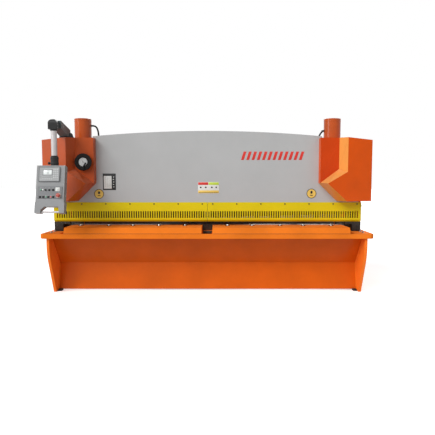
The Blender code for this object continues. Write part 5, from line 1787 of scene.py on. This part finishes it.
@dataclass
class OilWorks:
    """Tank lid, filler, level glass, motor fins, valve block and pipes at the rear."""

    palette: Palette
    motor_at: Pair = (-0.28, 0.55)
    motor_radius: float = 0.106
    fins: int = 36
    block_at: Pair = (0.16, 0.54)

    def tank(self) -> None:
        """Build the tank's bolted lid, filler cap, level glass and drain."""
        low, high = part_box("oil_tank")
        middle = (low + high) / 2
        rim, bolts = Shape("tank_lid_rim"), Shape("tank_bolts")
        wide, deep = high.x - low.x, high.y - low.y
        rim.at(shift((0, 0, high.z - 0.0002)))
        for x, y, width, depth in ((middle.x, low.y + 0.015, wide, 0.030),
                                   (middle.x, high.y - 0.015, wide, 0.030),
                                   (low.x + 0.015, middle.y, 0.030, deep - 0.060),
                                   (high.x - 0.015, middle.y, 0.030, deep - 0.060)):
            rim.plate(width, depth, 0.0040, 0.002, 0.0012, (x, y))
        rim.piece(self.palette["grey_paint"])
        for x in spread(low.x + 0.05, high.x - 0.05, 9):
            for y in (low.y + 0.015, high.y - 0.015):
                bolts.at(shift((x, y, high.z + 0.0036))).hex_bolt(0.013)
        for y in spread(low.y + 0.10, high.y - 0.10, 4):
            for x in (low.x + 0.015, high.x - 0.015):
                bolts.at(shift((x, y, high.z + 0.0036))).hex_bolt(0.013)
        bolts.piece(self.palette["bolt_steel"])
        cap = Shape("filler_cap").at(shift((0.42, 0.70, high.z - 0.0002)))
        cap.turned([(0.042, 0.0), (0.042, 0.006), (0.030, 0.008), (0.030, 0.030), (0.036, 0.034),
                    (0.038, 0.044), (0.038, 0.064), (0.034, 0.072), (0.012, 0.075)], 40)
        for number in range(20):
            turn = Matrix.Rotation(2 * math.pi * number / 20, 4, "Z")
            cap.at(shift((0.42, 0.70, high.z + 0.036)) @ turn @ shift((0.0375, 0, 0)))
            cap.plate(0.0030, 0.0050, 0.030, 0.0008, 0.0006)
        cap.piece(self.palette["black_plastic"])
        gauge = Shape("level_gauge").at(seat((0.40, high.y - 0.0002, 1.12), (0, 1, 0)))
        gauge.plate(0.034, 0.170, 0.010, 0.008, 0.002)
        gauge.piece(self.palette["black_plastic"])
        tube = Shape("level_glass").at(seat((0.40, high.y, 1.055), (0, 0, 1), (0, 1, 0)))
        tube.at(tube.placing @ shift((0, 0.0095, 0))).turned(
            [(0.0050, 0.0), (0.0062, 0.002), (0.0062, 0.128), (0.0050, 0.130)], 20)
        tube.piece(self.palette["oil_glass"])
        drain = Shape("drain_plug").at(seat((-0.44, high.y - 0.0002, 0.950), (0, 1, 0))).hex_bolt(0.032)
        drain.piece(self.palette["bolt_steel"])

    def motor(self) -> None:
        """Build the motor's fins, terminal box, lifting eye and fan grille."""
        low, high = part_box("pump_motor")
        x, y = self.motor_at
        fins = Shape("motor_fins")
        for number in range(self.fins):
            angle = 2 * math.pi * number / self.fins
            turn = shift((x, y, low.z + 0.024)) @ Matrix.Rotation(angle, 4, "Z")
            fins.at(turn @ shift((self.motor_radius + 0.0058, 0,
                                  0))).plate(0.0120, 0.0030, 0.226, 0.0010, 0.0008)
        fins.piece(self.palette["frame_orange"])
        box = Shape("motor_terminal_box").at(seat((x, y + 0.1185, low.z + 0.135), (0, 1, 0)))
        box.plate(0.090, 0.100, 0.052, 0.008, 0.004)
        box.plate(0.098, 0.108, 0.010, 0.010, 0.003, (0.0, 0.0), 0.050)
        box.piece(self.palette["frame_orange"])
        details, grille = Shape("motor_screws"), Shape("motor_grille")
        for across in (-0.040, 0.040):
            for up in (-0.045, 0.045):
                details.at(seat((x + across, y + 0.1785, low.z + 0.135 + up), (0, 1, 0))).turned(
                    [(0.0040, 0.0), (0.0036, 0.0016), (0.0016, 0.0020)], 14)
        for number in range(8):
            angle = 2 * math.pi * (number + 0.5) / 8
            details.at(shift((x + 0.112 * math.cos(angle), y + 0.112 * math.sin(angle),
                              low.z + 0.0198))).hex_bolt(0.011, washer=False)
        details.piece(self.palette["bolt_steel"])
        for circle in (0.026, 0.044, 0.062, 0.080):
            grille.at(shift((x, y, high.z - 0.0004)))
            grille.ring_of([(circle, 0.0), (circle, 0.0022), (circle + 0.0035, 0.0022),
                            (circle + 0.0035, 0.0)], 48)
        for number in range(6):
            grille.at(shift((x, y, high.z - 0.0004)) @ Matrix.Rotation(math.pi * number / 3, 4, "Z")
                      @ shift((0.050, 0, 0)))
            grille.plate(0.076, 0.0035, 0.0026, 0.001, 0.0004)
        grille.piece(self.palette["black_plastic"])

    def valves(self) -> None:
        """Build the valve block with its coils, cartridge and pressure gauge."""
        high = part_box("oil_tank")[1].z
        x, y = self.block_at
        block = Shape("valve_block").at(shift((x, y, high - 0.0002)))
        block.plate(0.200, 0.120, 0.100, 0.004, 0.003)
        block.plate(0.240, 0.150, 0.012, 0.004, 0.002)
        block.piece(self.palette["dark_steel"])
        bolts = Shape("valve_block_bolts")
        for across in (-0.108, 0.108):
            for along in (-0.060, 0.060):
                bolts.at(shift((x + across, y + along, high + 0.0116))).socket_screw(0.0070, 0.0070)
        coils, bodies = Shape("valve_coils"), Shape("valve_bodies")
        for across in (-0.055, 0.055):
            bodies.at(shift((x + across, y, high + 0.0995))).plate(0.046, 0.090, 0.044, 0.003, 0.002)
            for sign in (-1, 1):
                out = seat((x + across, y + sign * 0.045, high + 0.122), (0, sign, 0))
                coils.at(out).turned([(0.0175, 0.0), (0.0190, 0.002), (0.0190, 0.048), (0.0175, 0.050),
                                      (0.0080, 0.051), (0.0080, 0.058)], 28)
                coils.at(out @ shift((0, 0.0170, 0.012))).plate(0.026, 0.022, 0.026, 0.003, 0.002)
        coils.piece(self.palette["black_plastic"])
        bodies.piece(self.palette["bolt_steel"])
        stem = Shape("gauge_stem").at(shift((x, y - 0.035, high + 0.0995)))
        stem.turned([(0.0075, 0.0), (0.0075, 0.010), (0.0055, 0.012), (0.0055, 0.034)], 18)
        stem.piece(self.palette["bolt_steel"])
        dial = seat((x, y - 0.028, high + 0.162), (0, 1, 0))
        case = Shape("pressure_gauge_case").at(dial)
        case.ring_of([(0.0290, -0.018), (0.0315, -0.016), (0.0315, 0.006), (0.0300, 0.009), (0.0275, 0.009),
                      (0.0275, -0.018)], 44)
        case.turned([(0.0280, -0.018), (0.0280, 0.0010)], 44)
        case.piece(self.palette["black_plastic"])
        glass = Shape("pressure_gauge_face").at(dial).turned([(0.0272, 0.0012), (0.0272, 0.0030)], 44)
        glass.piece(self.palette["sign_pale"])
        marks = Shape("pressure_gauge_marks")
        for number in range(13):
            turn = math.radians(225 - 22.5 * number)
            marks.at(dial @ Matrix.Rotation(turn, 4, "Z")).plate(
                0.0045, 0.0010, 0.0003, 0.0003, 0.0001, (0.0225, 0.0), 0.0030)
        marks.at(dial @ Matrix.Rotation(math.radians(225), 4, "Z")).plate(
            0.0190, 0.0014, 0.0005, 0.0005, 0.0001, (0.0080, 0.0), 0.0032)
        marks.piece(self.palette["sign_dark"])
        bolts.piece(self.palette["black_bolt"])

    def bend(self, corners: Sequence[Point], radius: float = 0.05, steps: int = 6) -> list[Point]:
        """Round the corners of a pipe's route.

        Args:
            corners: The route's corners.
            radius: Radius of the bends.
            steps: Segments in a bend.

        Returns:
            The route's points.
        """
        points = [Vector(corners[0])]
        for before, here, after in zip(corners, corners[1:], corners[2:]):
            corner = Vector(here)
            back, on = (Vector(before) - corner).normalized(), (Vector(after) - corner).normalized()
            for step in range(steps + 1):
                share = step / steps
                start, end = corner + back * radius, corner + on * radius
                points.append((1 - share) ** 2 * start + 2 * share * (1 - share) * corner + share ** 2 * end)
        return [tuple(point) for point in points + [Vector(corners[-1])]]

    def pipes(self) -> None:
        """Run the steel pipes from the valve block along the tie beam and side plates to the cylinders."""
        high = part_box("oil_tank")[1].z
        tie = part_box("rear_tie_beam")
        pipes, clips, nuts = Shape("oil_pipes"), Shape("pipe_clips"), Shape("pipe_nuts")
        x, y = self.block_at
        for side in Side:
            out = side.value
            start = (x + out * 0.100, y, high + 0.050)
            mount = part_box(f"{side.word}_cylinder_mount")
            drop, wall = 0.585 * out, 1.708 * out
            level, lane = tie[1].z + 0.020, tie[1].y - 0.030
            corners = [start, (drop, y, high + 0.050), (drop, 0.885, high + 0.050), (drop, 0.885, level),
                       (drop + 0.10 * out, lane, level),
                       (wall, lane, level), (wall, lane, 0.985), (wall, -0.085, 0.985),
                       (wall, -0.085, 1.640), (wall, mount[1].y, 1.640)]
            pipes.at(Matrix.Identity(4)).tube(self.bend(corners, 0.035), 0.0080, 14)
            nuts.at(seat(start, (out, 0, 0))).hex_bolt(0.022, washer=False)
            nuts.at(seat((wall, mount[1].y, 1.640), (0, 1, 0))).hex_bolt(0.022, washer=False)
            for at in spread(0.80, 1.60, 3):
                clips.at(shift((out * at, lane, tie[1].z - 0.0002))).plate(0.022, 0.048, 0.030, 0.006, 0.002)
            for at in (0.15, 0.45):
                clips.at(seat((out * 1.7302, at, 0.985),
                              (-out, 0, 0))).plate(0.022, 0.042, 0.030, 0.006, 0.002)
            for at in (1.15, 1.45):
                clips.at(seat((out * 1.7302, -0.085, at),
                              (-out, 0, 0))).plate(0.042, 0.022, 0.030, 0.006, 0.002)
        pipes.piece(self.palette["bolt_steel"])
        clips.piece(self.palette["black_plastic"])
        nuts.piece(self.palette["bolt_steel"])

    def build(self) -> None:
        """Build everything on the tank."""
        self.tank()
        self.motor()
        self.valves()
        self.pipes()


@dataclass
class BackGauge:
    """Rails, screws, stop fingers and scale of the back gauge."""

    palette: Palette

    def build(self) -> None:
        """Build the back gauge's pieces."""
        beam_low, beam_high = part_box("back_gauge_beam")
        fingers, scale = Shape("gauge_fingers"), Shape("gauge_scale")
        for x in spread(beam_low.x + 0.12, beam_high.x - 0.12, 6):
            fingers.at(seat((x, beam_low.y + 0.0002, beam_low.z
                             + 0.030))).plate(0.090, 0.044, 0.012, 0.004, 0.0015)
            for across in (-0.030, 0.030):
                fingers.at(seat((x + across, beam_low.y - 0.0116, beam_low.z
                                 + 0.030))).socket_screw(0.0060, 0.0050)
        fingers.piece(self.palette["bolt_steel"])
        scale.at(seat(((beam_low.x + beam_high.x) / 2, (beam_low.y + beam_high.y) / 2, beam_high.z - 0.0001),
                      (0, 0, 1), (0, 1, 0)))
        scale.plate(beam_high.x - beam_low.x - 0.9, 0.012, 0.0008, 0.001, 0.0002)
        scale.piece(self.palette["sign_pale"])
        rails, screws, nuts = Shape("gauge_rails"), Shape("gauge_lead_screws"), Shape("gauge_blocks")
        for side in Side:
            low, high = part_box(f"{side.word}_gauge_arm")
            middle = (low + high) / 2
            rails.at(shift((middle.x, middle.y, high.z - 0.0002))).plate(
                0.020, high.y - low.y - 0.06, 0.012, 0.001, 0.0010)
            radius = 0.0085
            thread = []
            length, pitch = 0.60, 0.0060
            for step in range(int(length / pitch)):
                thread += [(radius - 0.0012, pitch * step), (radius, pitch * (step + 0.35)),
                           (radius, pitch * (step + 0.65))]
            side_x = (low.x if side is Side.RIGHT else high.x) - side.value * 0.016
            screws.at(seat((side_x, low.y + 0.13, high.z - 0.045), (0, 1, 0))).turned(
                thread + [(radius - 0.0012, length)], 14)
            for y in (low.y + 0.13, low.y + 0.73):
                nuts.at(seat((side_x + side.value * 0.017, y - 0.012, high.z - 0.045),
                             (-side.value, 0, 0))).plate(0.024, 0.040, 0.034, 0.003, 0.0015)
        rails.piece(self.palette["tool_steel"])
        screws.piece(self.palette["tool_steel"])
        nuts.piece(self.palette["dark_steel"])


@dataclass
class Studio:
    """Camera, floor, white backdrop and soft lamps."""

    eye: Point = (0.115, -5.809, 1.278)
    pitch: float = 4.56
    lens: float = 470 / 435 * 36
    sky: float = 0.08
    floor_bounce: float = 0.70
    floor_lift: float = 0.36

    def camera(self) -> None:
        """Set the camera where the photograph was taken."""
        data = bpy.data.cameras.new("studio_camera")
        data.sensor_width = 36.0
        data.lens = self.lens
        data.clip_end = 100.0
        camera = bpy.data.objects.new("studio_camera", data)
        camera.location = self.eye
        camera.rotation_euler = (math.radians(90 - self.pitch), 0.0, 0.0)
        bpy.context.scene.collection.objects.link(camera)
        bpy.context.scene.camera = camera

    def lamp(self, name: str, azimuth: float, height: float, level: float, softness: float) -> None:
        """Hang one far soft lamp.

        Args:
            name: Name of the lamp.
            azimuth: Degrees from the front, negative to the machine's left.
            height: Degrees above the floor.
            level: Light on a face turned to the lamp, where 1 shows a colour as written.
            softness: Width of the lamp as seen from the machine, in degrees.
        """
        data = bpy.data.lights.new(name, "SUN")
        data.energy = level * math.pi
        data.angle = math.radians(softness)
        turn, rise = math.radians(azimuth), math.radians(height)
        towards = Vector((math.sin(turn) * math.cos(rise), -math.cos(turn) * math.cos(rise), math.sin(rise)))
        lamp = bpy.data.objects.new(name, data)
        lamp.location = towards * 8.0
        lamp.rotation_mode = "QUATERNION"
        lamp.rotation_quaternion = (-towards).to_track_quat("-Z", "Y")
        bpy.context.scene.collection.objects.link(lamp)

    def backdrop(self) -> None:
        """White where the camera or a reflection looks past the machine, plain soft light elsewhere."""
        world = bpy.data.worlds.new("studio_world")
        world.use_nodes = True
        bpy.context.scene.world = world
        wiring = Wiring(world.node_tree)
        wiring.tree.nodes.clear()
        rays = wiring.node("ShaderNodeLightPath").outputs
        seen = wiring.maths("MAXIMUM", rays["Is Camera Ray"], rays["Is Glossy Ray"])
        seen = wiring.maths("MAXIMUM", seen, rays["Is Transmission Ray"])
        light = wiring.node("ShaderNodeBackground", {"Color": paint_chip(255, 255, 255),
                                                     "Strength": self.sky})
        white = wiring.node("ShaderNodeBackground", {"Color": paint_chip(255, 255, 255), "Strength": 1.0})
        mixed = wiring.node("ShaderNodeMixShader", {0: seen, 1: light.outputs[0], 2: white.outputs[0]})
        wiring.node("ShaderNodeOutputWorld", {"Surface": mixed.outputs[0]})

    def floor(self) -> None:
        """Lay a pale floor that keeps the machine's shadow."""
        mesh = bpy.data.meshes.new("studio_floor")
        half = 60.0
        corners = [(-half, -half, 0.0), (half, -half, 0.0), (half, half, 0.0), (-half, half, 0.0)]
        mesh.from_pydata(corners, [], [(0, 1, 2, 3)])
        floor = bpy.data.objects.new("studio_floor", mesh)
        bpy.context.scene.collection.objects.link(floor)
        made, wiring, shader = new_material("studio_floor")
        grain = wiring.noise(wiring.place(), 3.0, 4.0)
        pale = wiring.blend(grain, paint_chip(250, 250, 250), paint_chip(255, 255, 255))
        wiring.tree.links.new(pale, shader.inputs["Base Color"])
        shader.inputs["Roughness"].default_value = 0.9
        shader.inputs["Specular IOR Level"].default_value = 0.1
        rays = wiring.node("ShaderNodeLightPath").outputs
        seen = wiring.maths("MAXIMUM", rays["Is Camera Ray"], rays["Is Glossy Ray"])
        lift = wiring.node("ShaderNodeEmission", {"Color": paint_chip(255, 255, 255),
                                                  "Strength": self.floor_lift})
        lit = wiring.node("ShaderNodeAddShader", {0: shader.outputs[0], 1: lift.outputs[0]})
        level = self.floor_bounce
        dull = wiring.node("ShaderNodeBsdfDiffuse", {"Color": (level, level, level, 1.0)})
        mixed = wiring.node("ShaderNodeMixShader", {0: seen, 1: dull.outputs[0], 2: lit.outputs[0]})
        wiring.tree.links.new(mixed.outputs[0], wiring.tree.nodes["Material Output"].inputs["Surface"])
        mesh.materials.append(made)

    def build(self) -> None:
        """Set the whole studio."""
        self.camera()
        self.backdrop()
        self.floor()
        self.lamp("key_lamp", -46.0, 38.0, 0.66, 30.0)
        self.lamp("front_lamp", -15.0, 30.0, 0.22, 30.0)
        self.lamp("left_lamp", -60.0, 12.0, 0.15, 20.0)
        self.lamp("right_lamp", 50.0, 30.0, 0.10, 30.0)
        self.lamp("rear_lamp", 170.0, 36.0, 0.65, 30.0)
        bpy.context.scene.view_settings.view_transform = "Standard"


def main() -> None:
    logging.basicConfig(level=logging.INFO, format="%(name)s: %(message)s")
    palette = Palette()
    parts = (
        Studio(), Dressing(palette), TableTop(palette), GuardFittings(palette), BeamMarks(palette),
             Covers(palette),
        HoseFittings(palette), GapSetting(palette), ConsoleFace(palette), SwingArm(palette),
             FrameFittings(palette),
        CuttingGear(palette), OilWorks(palette), BackGauge(palette),
    )
    for part in parts:
        part.build()
        log.info("%s built", type(part).__name__)


if __name__ == "__main__":
    main()
